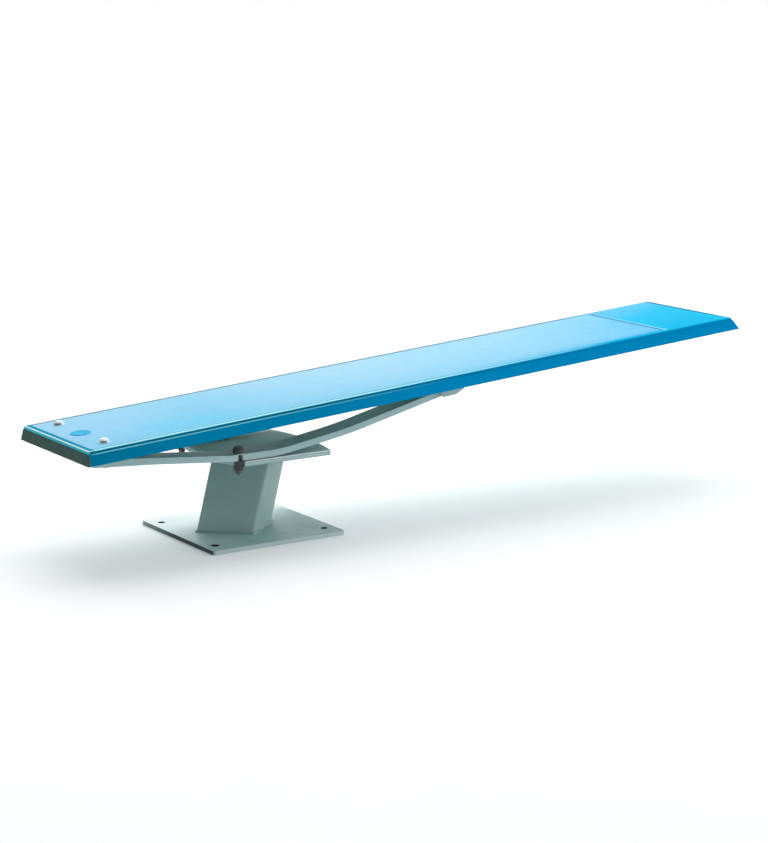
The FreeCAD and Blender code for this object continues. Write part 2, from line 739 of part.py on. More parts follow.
# Core: six planks laid side by side the length of the board.
b = new_body("board_core", True)
s = new_sketch(b, "PlankPlan", at=(0, 0, D("under_skin") + 0.1))
rect(s, D("plank_start"), D("plank_end"),
     D("plank_step") * -2.5 - D("plank_width") / 2,
     D("plank_step") * -2.5 + D("plank_width") / 2)
p1 = pad(b, s, H - wall - D("under_skin") - 0.2)
f = b.newObject("PartDesign::LinearPattern", "Planks")
f.Originals = [p1]
f.Direction = (plane(b, "XZ_Plane"), [""])
f.Reversed = True
f.Length = 5 * NUM["plank_step"]
f.setExpression("Length", "5 * Dims.plank_step")
f.Occurrences = 6
b.Tip = f
doc.recompute()
if b.Tip.Shape.BoundBox.YMax < 150:
    f.Reversed = False
    doc.recompute()
s = new_sketch(b, "CoreBoltHoles", at=(0, 0, H + 5.0))
for sy in (-1, 1):
    circle(s, D("tail_bolt_x"), sy * D("tail_bolt_y"), D("tail_hole_dia"))
pocket(b, s)

b = new_body("tread_panel", True)
s = new_sketch(b, "TreadPlan", at=(0, 0, H - D("tread_deep")))
rect(s, td + D("rim_tail") + 0.2, D("tread_end") - 0.2,
     -(W / 2) + sd + D("rim_side") + 0.2, (W / 2) - sd - D("rim_side") - 0.2)
pad(b, s, D("tread_thick"))
s = new_sketch(b, "TreadBoltHoles", at=(0, 0, H + 5.0))
for sy in (-1, 1):
    circle(s, D("tail_bolt_x"), sy * D("tail_bolt_y"), D("tail_hole_dia"))
pocket(b, s)

tread_top = H - D("tread_deep") + D("tread_thick")
b = new_body("medallion", True)
f = revolve(b, "Disc", (D("medal_x"), q(0), tread_top),
            [(0, 0), (D("medal_dia") / 2, 0), (D("medal_dia") / 2, D("medal_thick") - 0.8),
             (D("medal_dia") / 2 - 1.2, D("medal_thick")),
             (D("medal_dia") / 2 - 5.0, D("medal_thick")),
             (D("medal_dia") / 2 - 5.6, D("medal_thick") - 0.5),
             (0, D("medal_thick") - 0.5)])

# Tail fastening: cap, washer and hex head above; gasket, rail, rubber,
# washer and nut below.
tx, ty = D("tail_bolt_x"), -D("tail_bolt_y")
tb = D("tail_bolt_dia") / 2
b = new_body("tail_bolt_washers", True)
f = revolve(b, "HeadWasher", (tx, ty, tread_top),
            [(tb + 0.1, 0), (17.0, 0), (17.0, 0.7), (16.5, 1.2), (tb + 0.1, 1.2)])
mirror(b, [f])
z_bolt = tread_top + 1.2
rail_local_under = -D("spot_face")
low_rub, low_wash, low_nut = 3.0, 1.5, 6.0

b = new_body("tail_bolts", True)
bolt_end = rail_local_under - (low_rub + low_wash + low_nut + 1.2)
f = revolve(b, "TailShank", (tx, ty, z_bolt),
            [(0, bolt_end - z_bolt), (tb - 1.0, bolt_end - z_bolt),
             (tb, bolt_end - z_bolt + 1.2), (tb, 0.2), (0, 0.2)])
s = new_sketch(b, "HeadSketch", at=(0, 0, z_bolt))
ngon(s, tx, ty, 19.0)
f2 = pad(b, s, 6.0)
mirror(b, [f, f2])

b = new_body("tail_bolt_caps", True)
cr, ch, cw = D("cap_dia") / 2, D("cap_rise"), D("cap_wall")
outer, inner = [], []
for i in range(9):
    a = math.radians(90.0 * i / 8)
    outer.append((cr * round(math.cos(a), 6), ch * round(math.sin(a), 6)))
for i in range(8, -1, -1):
    a = math.radians(90.0 * i / 8)
    inner.append(((cr - cw) * round(math.cos(a), 6), (ch - cw) * round(math.sin(a), 6)))
outer[-1] = (q(0), ch)
inner[0] = (q(0), ch - cw)
f = revolve(b, "CapDome", (tx, ty, z_bolt), outer + inner)
mirror(b, [f])

b = new_body("tail_gaskets", True)
s = new_sketch(b, "GasketPlan", at=(0, 0, -4.0))
rect(s, 38.0, 109.0, -(D("rail_inner") + D("rail_width")) + 1.0, -D("rail_inner") - 1.0)
p1 = pad(b, s, 4.0)
s = new_sketch(b, "GasketHole", at=(0, 0, 5.0))
circle(s, tx, ty, D("tail_hole_dia"))
h1 = pocket(b, s)
mirror(b, [p1, h1])

b = new_body("tail_lower_bushings", True)
zr = rail_local_under - low_rub
f = revolve(b, "LowerRubber", (tx, ty, zr),
            [(tb + 0.05, 0), (16.8, 0), (17.5, 0.8), (17.5, low_rub - 0.8),
             (16.8, low_rub), (tb + 0.05, low_rub)])
mirror(b, [f])

b = new_body("tail_lower_washers", True)
f = revolve(b, "LowerWasher", (tx, ty, zr - low_wash),
            [(tb + 0.05, 0), (16.5, 0), (16.5, low_wash), (tb + 0.05, low_wash)])
mirror(b, [f])

nuts("tail_nuts", tx, ty, zr - low_wash - low_nut, 19.0, low_nut,
     D("tail_bolt_dia") + 0.1, True)

# ---------------------------------------------------------------- check, write
doc.recompute()
for o in doc.Objects:
    bad = [w for w in o.State if w in ("Invalid", "Error")]
    if bad:
        raise RuntimeError("%s is %s" % (o.Label, bad))
os.makedirs("parts", exist_ok=True)
for o in PARTS:
    shape = o.Shape
    if shape.isNull() or not shape.isValid() or not shape.Solids:
        raise RuntimeError("bad shape in " + o.Label)
    path = os.path.join("parts", o.Label + ".step")
    shape.exportStep(path)
    bb = shape.BoundBox
    print("%-22s solids %d  vol %10.0f  x %8.1f %8.1f  y %7.1f %7.1f  z %6.1f %6.1f" % (
        o.Label, len(shape.Solids), shape.Volume, bb.XMin, bb.XMax,
        bb.YMin, bb.YMax, bb.ZMin, bb.ZMax))
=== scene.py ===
import bpy
import bmesh
import json
import math
import random
from mathutils import Vector, Matrix, Euler

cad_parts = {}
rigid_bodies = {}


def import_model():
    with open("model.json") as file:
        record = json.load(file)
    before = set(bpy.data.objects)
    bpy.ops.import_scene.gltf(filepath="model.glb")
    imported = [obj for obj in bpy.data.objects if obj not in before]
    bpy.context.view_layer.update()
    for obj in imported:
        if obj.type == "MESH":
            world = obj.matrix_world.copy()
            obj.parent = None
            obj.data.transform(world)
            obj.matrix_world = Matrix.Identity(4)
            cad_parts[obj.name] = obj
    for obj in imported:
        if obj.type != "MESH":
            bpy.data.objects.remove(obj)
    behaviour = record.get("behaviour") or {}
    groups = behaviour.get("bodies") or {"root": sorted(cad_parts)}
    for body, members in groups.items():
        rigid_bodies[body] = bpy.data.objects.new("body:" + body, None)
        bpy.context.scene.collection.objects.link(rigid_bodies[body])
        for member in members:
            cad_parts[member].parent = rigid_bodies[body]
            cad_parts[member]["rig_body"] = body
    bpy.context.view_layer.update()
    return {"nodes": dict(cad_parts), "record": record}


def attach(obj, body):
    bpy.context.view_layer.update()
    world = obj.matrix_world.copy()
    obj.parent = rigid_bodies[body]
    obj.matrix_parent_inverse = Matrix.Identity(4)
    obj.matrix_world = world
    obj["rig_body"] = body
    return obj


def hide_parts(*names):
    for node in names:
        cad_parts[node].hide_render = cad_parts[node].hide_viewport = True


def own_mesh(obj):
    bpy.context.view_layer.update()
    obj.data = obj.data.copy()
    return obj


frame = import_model()
NODES = frame["nodes"]
scene = bpy.context.scene
random.seed(7)

# ------------------------------------------------------------------ camera
cam_data = bpy.data.cameras.new("shot")
cam = bpy.data.objects.new("shot", cam_data)
scene.collection.objects.link(cam)
cam_data.sensor_width = 36.0
cam_data.lens = 97.77
cam_data.clip_end = 200.0
cam.location = (-3.389, -5.928, 1.739)
cam.rotation_euler = Euler((math.radians(90 - 11.624), 0.0, math.radians(-33.405)), "XYZ")
scene.camera = cam

scene.view_settings.view_transform = "Standard"
scene.view_settings.look = "None"
scene.view_settings.exposure = 0.0
scene.view_settings.gamma = 1.0

# ------------------------------------------------------------------ sizes (m)
MM = 0.001
PITCH = math.radians(4.16)
BOARD = Matrix.Translation((-0.6253, 0, 0.3142)) @ Matrix.Rotation(-PITCH, 4, "Y")
L, W, H = 2438.4 * MM, 457.2 * MM, 42.4 * MM
SD, TD, PD = 10.0 * MM, 9.0 * MM, 28.0 * MM


def srgb(r, g, b):
    out = []
    for c in (r, g, b):
        c = c / 255.0
        out.append(c / 12.92 if c <= 0.04045 else ((c + 0.055) / 1.055) ** 2.4)
    return (out[0], out[1], out[2], 1.0)


# ------------------------------------------------------------------ node helper
class Graph:
    def __init__(self, name):
        self.m = bpy.data.materials.new(name)
        self.m.use_nodes = True
        self.t = self.m.node_tree
        self.t.nodes.clear()
        self.out = self.t.nodes.new("ShaderNodeOutputMaterial")
        self.bsdf = self.t.nodes.new("ShaderNodeBsdfPrincipled")
        self.t.links.new(self.bsdf.outputs[0], self.out.inputs[0])
        tc = self.t.nodes.new("ShaderNodeTexCoord")
        self.obj = tc.outputs["Object"]

    def put(self, socket, value):
        if isinstance(value, bpy.types.NodeSocket):
            self.t.links.new(value, socket)
        else:
            socket.default_value = value

    def node(self, kind, **props):
        n = self.t.nodes.new(kind)
        for k, v in props.items():
            setattr(n, k, v)
        return n

    def mapped(self, scale=(1, 1, 1), rot=(0, 0, 0), loc=(0, 0, 0)):
        n = self.node("ShaderNodeMapping")
        self.put(n.inputs["Vector"], self.obj)
        n.inputs["Location"].default_value = loc
        n.inputs["Rotation"].default_value = rot
        n.inputs["Scale"].default_value = scale
        return n.outputs[0]

    def noise(self, scale, detail=4.0, rough=0.55, vec=None, distort=0.0):
        n = self.node("ShaderNodeTexNoise")
        self.put(n.inputs["Vector"], vec if vec is not None else self.obj)
        n.inputs["Scale"].default_value = scale
        n.inputs["Detail"].default_value = detail
        n.inputs["Roughness"].default_value = rough
        n.inputs["Distortion"].default_value = distort
        return n.outputs["Fac"]

    def voronoi(self, scale, feature="F1", vec=None, rand=1.0):
        n = self.node("ShaderNodeTexVoronoi", feature=feature)
        self.put(n.inputs["Vector"], vec if vec is not None else self.obj)
        n.inputs["Scale"].default_value = scale
        n.inputs["Randomness"].default_value = rand
        return n.outputs["Distance"]

    def ramp(self, fac, stops, interp="LINEAR"):
        n = self.node("ShaderNodeValToRGB")
        n.color_ramp.interpolation = interp
        els = n.color_ramp.elements
        while len(els) > 1:
            els.remove(els[-1])
        els[0].position = stops[0][0]
        els[0].color = stops[0][1]
        for p, c in stops[1:]:
            e = els.new(p)
            e.color = c
        self.put(n.inputs[0], fac)
        return n.outputs["Color"]

    def rng(self, value, a, b, c, d):
        n = self.node("ShaderNodeMapRange")
        self.put(n.inputs["Value"], value)
        n.inputs["From Min"].default_value = a
        n.inputs["From Max"].default_value = b
        n.inputs["To Min"].default_value = c
        n.inputs["To Max"].default_value = d
        return n.outputs["Result"]

    def math(self, op, a, b=None, clamp=False):
        n = self.node("ShaderNodeMath", operation=op, use_clamp=clamp)
        self.put(n.inputs[0], a)
        if b is not None:
            self.put(n.inputs[1], b)
        return n.outputs[0]

    def mix(self, fac, a, b, blend="MIX"):
        n = self.node("ShaderNodeMix", data_type="RGBA", blend_type=blend)
        self.put(n.inputs[0], fac)
        self.put(n.inputs[6], a)
        self.put(n.inputs[7], b)
        return n.outputs[2]

    def split(self, vec=None):
        n = self.node("ShaderNodeSeparateXYZ")
        self.put(n.inputs[0], vec if vec is not None else self.obj)
        return n.outputs

    def bump(self, height, strength, distance, normal=None):
        n = self.node("ShaderNodeBump")
        n.inputs["Strength"].default_value = strength
        n.inputs["Distance"].default_value = distance
        self.put(n.inputs["Height"], height)
        if normal is not None:
            self.put(n.inputs["Normal"], normal)
        return n.outputs[0]

    def edges(self, lo=0.52, hi=0.62):
        """Where the surface is convex, for wear along edges."""
        g = self.node("ShaderNodeNewGeometry")
        return self.rng(g.outputs["Pointiness"], lo, hi, 0.0, 1.0)

    def done(self, color, rough, normal=None, **fixed):
        b = self.bsdf
        self.put(b.inputs["Base Color"], color)
        self.put(b.inputs["Roughness"], rough)
        if normal is not None:
            self.put(b.inputs["Normal"], normal)
        for k, v in fixed.items():
            b.inputs[k.replace("_", " ")].default_value = v
        return self.m


def powder_coat(name, light, dark, extra=None, spec=0.35):
    """Grey-green powder coat: orange peel, faint cloudiness, darker in
    concave corners, rubbed edges."""
    g = Graph(name)
    big = g.noise(3.2, 3.0, 0.5)
    mid = g.noise(34.0, 5.0, 0.62)
    base = g.mix(g.rng(big, 0.35, 0.68, 0.0, 1.0), light, dark)
    tone = g.mix(g.rng(mid, 0.45, 0.75, 0.0, 0.09), base, (0.12, 0.16, 0.16, 1))
    specks = g.noise(420.0, 2.0, 0.7)
    tone = g.mix(g.rng(specks, 0.69, 0.77, 0.0, 0.18), tone, (0.62, 0.66, 0.66, 1))
    geo = g.node("ShaderNodeNewGeometry")
    # darker where the surface is concave
    hollow = g.rng(geo.outputs["Pointiness"], 0.48, 0.42, 0.0, 0.5)
    tone = g.mix(hollow, tone, (0.07, 0.09, 0.09, 1))
    worn = g.math("MULTIPLY", g.edges(0.53, 0.60), g.rng(mid, 0.5, 0.62, 0.1, 0.5), clamp=True)
    tone = g.mix(worn, tone, (0.58, 0.64, 0.64, 1))
    if extra:
        tone = extra(g, tone)
    rough = g.rng(g.math("ADD", mid, g.math("MULTIPLY", specks, 0.3)), 0.4, 1.0, 0.40, 0.56)
    peel = g.noise(750.0, 2.5, 0.5)
    n = g.bump(peel, 0.12, 0.0006)
    n = g.bump(g.noise(95.0, 3.0, 0.5), 0.05, 0.0009, n)
    return g.done(tone, rough, n, IOR=1.45, Specular_IOR_Level=spec)


def rail_shade(g, tone):
    """Painted shade on the upper faces of the spring rails under the board, and a painted highlight on their upper
    edges.
    """
    co = g.node("ShaderNodeTexCoord")
    sep = g.node("ShaderNodeSeparateXYZ")
    g.put(sep.inputs[0], co.outputs["Normal"])
    # painted shade on the faces that point up
    tone = g.mix(g.rng(sep.outputs["Z"], 0.72, 0.86, 0.0, 0.55), tone, (0.09, 0.16, 0.165, 1))
    return edge_highlight(g, tone)


def saddle_shade(g, tone):
    """Painted shade on the upper face of the saddle, deeper and greener under the board, and a painted highlight
    on its upper edges.
    """
    x, y, z = g.split()
    up = g.rng(z, 0.2590, 0.2597, 0.0, 1.0)
    # painted shade: the upper face greener and darker
    tone = g.mix(g.math("MULTIPLY", up, 0.6), tone, (0.04, 0.36, 0.36, 1))
    deep = g.math("MULTIPLY", up, g.rng(x, -0.06, 0.18, 0.0, 0.30))
    tone = g.mix(deep, tone, (0.08, 0.16, 0.16, 1))
    return edge_highlight(g, tone)


def stand_light_and_shade(g, tone):
    """Painted light and shade on the stand: darker toward the column's top and paler near its
    foot; on the base plate, painted light over the far and front parts of its top, painted
    shade over its right part and on its left edge, painted light on its near edge, painted
    shade in the anchor holes, and a dark ring round the near hole."""
    x, y, z = g.split()
    # painted shade: darker toward the column's top
    tone = g.mix(g.rng(z, 0.05, 0.235, 0.06, 0.52), tone, (0.12, 0.20, 0.19, 1))
    # painted light: paler near the column's foot
    foot = g.math("MULTIPLY", g.rng(z, 0.11, 0.02, 0.0, 0.30), g.rng(z, 0.0130, 0.0134, 0.0, 1.0))
    tone = g.mix(foot, tone, (0.62, 0.74, 0.74, 1))
    low = g.rng(z, 0.0132, 0.0130, 0.0, 1.0)
    face = g.math("MULTIPLY", low, g.rng(z, 0.0121, 0.0125, 0.0, 1.0))
    cloud = g.noise(9.0, 3.0, 0.5)
    edge_y = g.math("ADD", y, g.rng(cloud, 0.3, 0.7, -0.02, 0.02))
    edge_y = g.math("SUBTRACT", edge_y, g.math("MULTIPLY", x, 0.30))
    # painted light: the far part of the base plate's top paler
    pale = g.math("MULTIPLY", g.rng(edge_y, -0.03, 0.15, 0.0, 0.92), face)
    tone = g.mix(pale, tone, (0.95, 1.0, 1.0, 1))
    shade = g.math("MULTIPLY", g.rng(x, -0.02, 0.16, 0.0, 0.56), face)
    shade = g.math("MULTIPLY", shade, g.rng(edge_y, 0.10, -0.04, 0.0, 1.0))
    tone = g.mix(shade, tone, (0.13, 0.20, 0.20, 1))
    # painted light: the front part of the base plate's top a little paler
    front = g.math("MULTIPLY", g.rng(x, -0.02, -0.12, 0.0, 0.20), face)
    tone = g.mix(front, tone, (0.66, 0.78, 0.76, 1))
    # painted shade on the base plate's left edge
    left = g.math("MULTIPLY", g.rng(x, -0.2268, -0.2278, 0.0, 1.0), low)
    left = g.math("MULTIPLY", left, g.rng(y, 0.22, 0.02, 0.25, 0.93))
    tone = g.mix(left, tone, (0.020, 0.034, 0.031, 1))
    # painted light on the base plate's near edge
    near = g.math("MULTIPLY", g.rng(y, -0.2266, -0.2276, 0.0, 0.45), low)
    near = g.math("MULTIPLY", near, g.rng(x, -0.2262, -0.2250, 0.0, 1.0))
    tone = g.mix(near, tone, (0.72, 0.80, 0.81, 1))
    dx = g.math("SUBTRACT", g.math("ABSOLUTE", x), 0.1905)
    dy = g.math("SUBTRACT", g.math("ABSOLUTE", y), 0.168)
    r = g.math("SQRT", g.math("ADD", g.math("MULTIPLY", dx, dx), g.math("MULTIPLY", dy, dy)))
    # painted shade inside the anchor holes
    hole = g.math("MULTIPLY", g.rng(r, 0.0118, 0.0108, 0.0, 0.95), low)
    tone = g.mix(hole, tone, (0.012, 0.020, 0.019, 1))
    # a dark ring round the near anchor hole
    here = g.math("MULTIPLY", g.rng(x, 0.02, -0.02, 0.0, 1.0), g.rng(y, 0.02, -0.02, 0.0, 1.0))
    dark_ring = g.math("MULTIPLY", g.rng(r, 0.0165, 0.0125, 0.0, 0.9), low)
    tone = g.mix(g.math("MULTIPLY", dark_ring, here), tone, (0.014, 0.028, 0.026, 1))
    return tone


def edge_highlight(g, tone):
    """Painted highlight along the bevelled upper edges, streaky along their length."""
    geo = g.node("ShaderNodeNewGeometry")
    nx, ny, nz = g.split(geo.outputs["Normal"])
    tilt = g.math("MULTIPLY", g.rng(g.math("ABSOLUTE", ny), 0.25, 0.5, 0.0, 1.0),
                  g.rng(nz, 0.25, 0.5, 0.0, 1.0))
    # painted highlight strength, varied along the edge
    wear = g.rng(g.noise(30.0, 4.0, 0.6), 0.3, 0.6, 0.7, 1.0)
    return g.mix(g.math("MULTIPLY", tilt, wear), tone, (0.92, 1.0, 1.0, 1))


def gelcoat(name, light, dark, rough=0.26):
    """Moulded blue gelcoat: deep colour, faint flow marks, fine scratches."""
    g = Graph(name)
    flow = g.noise(3.0, 5.0, 0.6, g.mapped((0.6, 2.4, 3.0)), 0.6)
    tone = g.mix(g.rng(flow, 0.36, 0.66, 0.0, 1.0), light, dark)
    r, n = gel_finish(g, rough)
    return g.done(tone, r, n, IOR=1.45, Specular_IOR_Level=0.2)


def gel_finish(g, rough):
    fine = g.noise(60.0, 6.0, 0.65)
    streak = g.noise(36.0, 3.0, 0.6, g.mapped((0.06, 4.0, 14.0)))
    r = g.rng(g.math("ADD", g.math("MULTIPLY", fine, 0.5), g.math("MULTIPLY", streak, 0.5)),
              0.35, 0.70, rough - 0.04, rough + 0.14)
    n = g.bump(g.noise(120.0, 2.0, 0.5), 0.03, 0.0008)
    n = g.bump(streak, 0.02, 0.0006, n)
    return r, n


def board_gelcoat(name, rough=0.30):
    """Shell of the board.  Its sides are deep blue with painted shade toward the tail, the top
    carries a painted reflection that pales it, the tail end is dark, partly its own dark
    finish and partly painted shade, and the trim ledge carries a painted highlight."""
    g = Graph(name)
    x, y, z = g.split()
    flow = g.noise(2.2, 4.0, 0.55, g.mapped((0.6, 2.0, 3.0)), 0.4)
    drift = g.rng(flow, 0.3, 0.7, -0.06, 0.06)
    # sides: painted shade, deeper toward the tail
    side = g.ramp(g.math("ADD", g.rng(x, 0.0, 2.438, 0.0, 1.0), drift, clamp=True),
                  [(0.0, SIDE_A), (0.16, SIDE_B), (0.55, SIDE_C), (1.0, SIDE_C)])
    # top: painted reflection, palest along the far half, most saturated by the near rim and tip
    across = g.rng(y, -0.22, 0.20, 0.0, 1.0)
    along = g.rng(x, 2.10, 2.42, 0.0, 0.30)
    fade = g.math("ADD", g.math("SUBTRACT", across, along), drift, clamp=True)
    top = g.ramp(fade, [(0.0, DECK_A), (0.5, DECK_B), (1.0, DECK_C)])
    # borders beside the non-slip panel, under the same painted reflection: pale toward the tail, saturated toward
    # the tip
    border = g.ramp(g.rng(x, 0.0, 2.438, 0.0, 1.0),
                    [(0.0, BORDER_A), (0.36, BORDER_A), (0.60, BORDER_B), (0.78, BORDER_C),
                     (1.0, BORDER_C)])
    inner = g.math("MULTIPLY", g.rng(y, -0.2045, -0.2030, 0.0, 0.8),
                   g.rng(x, 1.0, 2.0, 1.0, 0.0))
    border = g.mix(inner, border, TEAL_LINE)
    beside = g.math("MULTIPLY", g.rng(x, 2.15, 2.08, 0.0, 1.0),
                    g.rng(y, 0.10, -0.10, 0.0, 1.0), clamp=True)
    top = g.mix(beside, top, border)
    far = g.math("MULTIPLY", g.rng(y, 0.150, 0.170, 0.0, 1.0), g.rng(x, 2.2, 2.0, 0.0, 1.0))
    top = g.mix(far, top, FAR_RIM)
    tail_rim = g.rng(x, 0.0315, 0.0300, 0.0, 1.0)
    top = g.mix(tail_rim, top, TAIL_BAND)
    # painted highlights: thin pale lines along the rim's outer corner and the panel's bead
    lip = g.math("MULTIPLY", g.rng(z, 0.0412, 0.0418, 0.0, 1.0),
                 g.rng(z, 0.04236, 0.04226, 0.0, 1.0))
    near_lip = g.math("MULTIPLY", lip, g.rng(y, 0.206, 0.202, 0.0, 1.0))
    near_lip = g.math("MULTIPLY", near_lip, g.rng(x, 0.9, 1.9, 1.0, 0.0))
    top = g.mix(near_lip, top, PALE_LINE)
    bead = g.rng(z, 0.04246, 0.04270, 0.0, 1.0)
    bead = g.math("MULTIPLY", bead, g.rng(x, 0.9, 2.0, 1.0, 0.25))
    top = g.mix(bead, top, PALE_LINE)
    # painted shade: a dark line along the tip's top edge
    tip_rim = g.math("MULTIPLY", g.rng(x, 2.3895, 2.3920, 0.0, 0.85),
                     g.rng(y, -0.190, -0.100, 0.0, 1.0))
    top = g.mix(tip_rim, top, TIP_RIM)
    # painted highlight by the tip's near corner
    glow = g.math("MULTIPLY", g.rng(x, 2.362, 2.376, 0.0, 0.40), g.rng(y, 0.10, -0.16, 0.0, 1.0))
    glow = g.math("MULTIPLY", glow, g.rng(x, 2.390, 2.386, 0.0, 1.0))
    top = g.mix(glow, top, srgb(40, 206, 250))
    seam = g.math("MULTIPLY", g.rng(x, 2.1350, 2.1370, 0.0, 0.70),
                  g.rng(x, 2.1470, 2.1440, 0.0, 1.0))
    seam = g.math("MULTIPLY", seam, g.rng(y, 0.16, -0.05, 0.15, 1.0))
    seam = g.math("MULTIPLY", seam, g.rng(y, -0.208, -0.196, 0.0, 1.0))
    top = g.mix(seam, top, srgb(150, 232, 255))
    tone = g.mix(g.rng(z, 0.0402, 0.0412, 0.0, 1.0), side, top)
    # painted shade on the trim band above the ledge, and a painted highlight along the ledge
    band = g.math("MULTIPLY", g.rng(z, 0.0332, 0.0342, 0.0, 1.0),
                  g.rng(z, 0.0412, 0.0402, 0.0, 1.0))
    band = g.math("MULTIPLY", band, g.rng(x, 0.8, 1.9, 0.75, 0.05))
    tone = g.mix(band, tone, BAND)
    ledge = g.math("MULTIPLY", g.rng(z, 0.0312, 0.0318, 0.0, 1.0),
                   g.rng(z, 0.0340, 0.0332, 0.0, 1.0))
    ledge = g.math("MULTIPLY", ledge, g.rng(x, 0.5, 1.3, 0.9, 0.0))
    ledge = g.math("MULTIPLY", ledge, g.rng(x, 0.012, 0.03, 0.0, 1.0))
    tone = g.mix(ledge, tone, LEDGE)
    tail_band = g.math("MULTIPLY", g.rng(x, 0.0150, 0.0110, 0.0, 0.9),
                       g.rng(z, 0.0330, 0.0340, 0.0, 1.0))
    tail_band = g.math("MULTIPLY", tail_band, g.rng(z, 0.0412, 0.0402, 0.0, 1.0))
    tone = g.mix(tail_band, tone, TAIL_TRIM)
    # painted highlight along the tail's top edge
    tail_lip = g.math("MULTIPLY", g.rng(z, 0.0402, 0.0408, 0.0, 1.0),
                      g.rng(x, 0.0150, 0.0138, 0.0, 1.0))
    tone = g.mix(tail_lip, tone, WHITE_LINE)
    # dark tail end, partly its own dark finish and partly painted shade, with a soft edge round the corner
    end_noise = g.noise(55.0, 5.0, 0.6)
    end_x = g.math("ADD", x, g.rng(end_noise, 0.3, 0.7, -0.0008, 0.0008))
    end = g.math("MULTIPLY", g.rng(end_x, 0.0105, 0.0085, 0.0, 1.0),
                 g.rng(z, 0.0345, 0.0325, 0.0, 1.0))
    dark_end = g.mix(g.rng(end_noise, 0.35, 0.7, 0.0, 1.0), END_A, END_B)
    tone = g.mix(end, tone, dark_end)
    chalk = g.noise(14.0, 8.0, 0.7, g.mapped((0.5, 3.0, 3.0)))
    tone = g.mix(g.rng(chalk, 0.56, 0.78, 0.0, 0.03), tone, srgb(120, 205, 232))
    r, n = gel_finish(g, rough)
    return g.done(tone, r, n, IOR=1.45, Specular_IOR_Level=0.002)


SIDE_A = srgb(1, 122, 160)
SIDE_B = srgb(0, 132, 178)
SIDE_C = srgb(0, 142, 200)
TIP_RIM = srgb(0, 118, 150)
TAIL_TRIM = srgb(72, 210, 228)
WHITE_LINE = srgb(226, 255, 255)
DECK_A = srgb(0, 184, 230)
DECK_B = srgb(44, 192, 236)
DECK_C = srgb(116, 202, 238)
BORDER_A = srgb(142, 230, 248)
BORDER_B = srgb(112, 216, 246)
TEAL_LINE = srgb(20, 150, 178)
BORDER_C = srgb(8, 180, 228)
FAR_RIM = srgb(110, 160, 186)
TAIL_BAND = srgb(0, 150, 190)
PALE_LINE = srgb(214, 250, 255)
BAND = srgb(0, 112, 140)
LEDGE = srgb(150, 236, 242)
END_A = srgb(84, 108, 98)
END_B = srgb(70, 98, 93)


def rubber(name, tone=(0.028, 0.033, 0.034, 1), dust=0.2):
    g = Graph(name)
    mid = g.noise(70.0, 5.0, 0.6)
    fine = g.noise(1400.0, 3.0, 0.6)
    c = g.mix(g.rng(mid, 0.4, 0.75, 0.0, dust), tone, (0.16, 0.17, 0.17, 1))
    c = g.mix(g.math("MULTIPLY", g.edges(0.53, 0.62), 0.35), c, (0.13, 0.14, 0.14, 1))
    r = g.rng(mid, 0.3, 0.7, 0.58, 0.80)
    n = g.bump(fine, 0.22, 0.0004)
    n = g.bump(mid, 0.12, 0.0006, n)
    return g.done(c, r, n, IOR=1.5, Sheen_Weight=0.12, Sheen_Roughness=0.5)


def steel(name, tone=(0.60, 0.62, 0.63, 1), rough=0.30):
    g = Graph(name)
    mid = g.noise(120.0, 4.0, 0.6)
    lines = g.noise(900.0, 2.0, 0.5, g.mapped((1, 1, 0.08)))
    c = g.mix(g.rng(mid, 0.4, 0.8, 0.0, 0.35), tone, (0.36, 0.37, 0.37, 1))
    r = g.rng(g.math("ADD", g.math("MULTIPLY", mid, 0.6), g.math("MULTIPLY", lines, 0.4)),
              0.3, 0.75, rough - 0.06, rough + 0.18)
    n = g.bump(lines, 0.10, 0.0002)
    return g.done(c, r, n, Metallic=1.0)


def steel_black(name):
    """Black-coated steel, rubbed through to metal on its edges."""
    g = Graph(name)
    mid = g.noise(160.0, 5.0, 0.6)
    c = g.mix(g.rng(mid, 0.4, 0.75, 0.0, 0.5), (0.030, 0.036, 0.038, 1), (0.075, 0.085, 0.088, 1))
    worn = g.math("MULTIPLY", g.edges(0.54, 0.62), g.rng(mid, 0.45, 0.6, 0.1, 0.6), clamp=True)
    c = g.mix(worn, c, (0.22, 0.23, 0.23, 1))
    r = g.rng(mid, 0.3, 0.75, 0.38, 0.58)
    n = g.bump(g.noise(1100.0, 2.0, 0.5), 0.12, 0.0003)
    return g.done(c, r, n, IOR=1.5, Coat_Weight=0.15, Coat_Roughness=0.3)


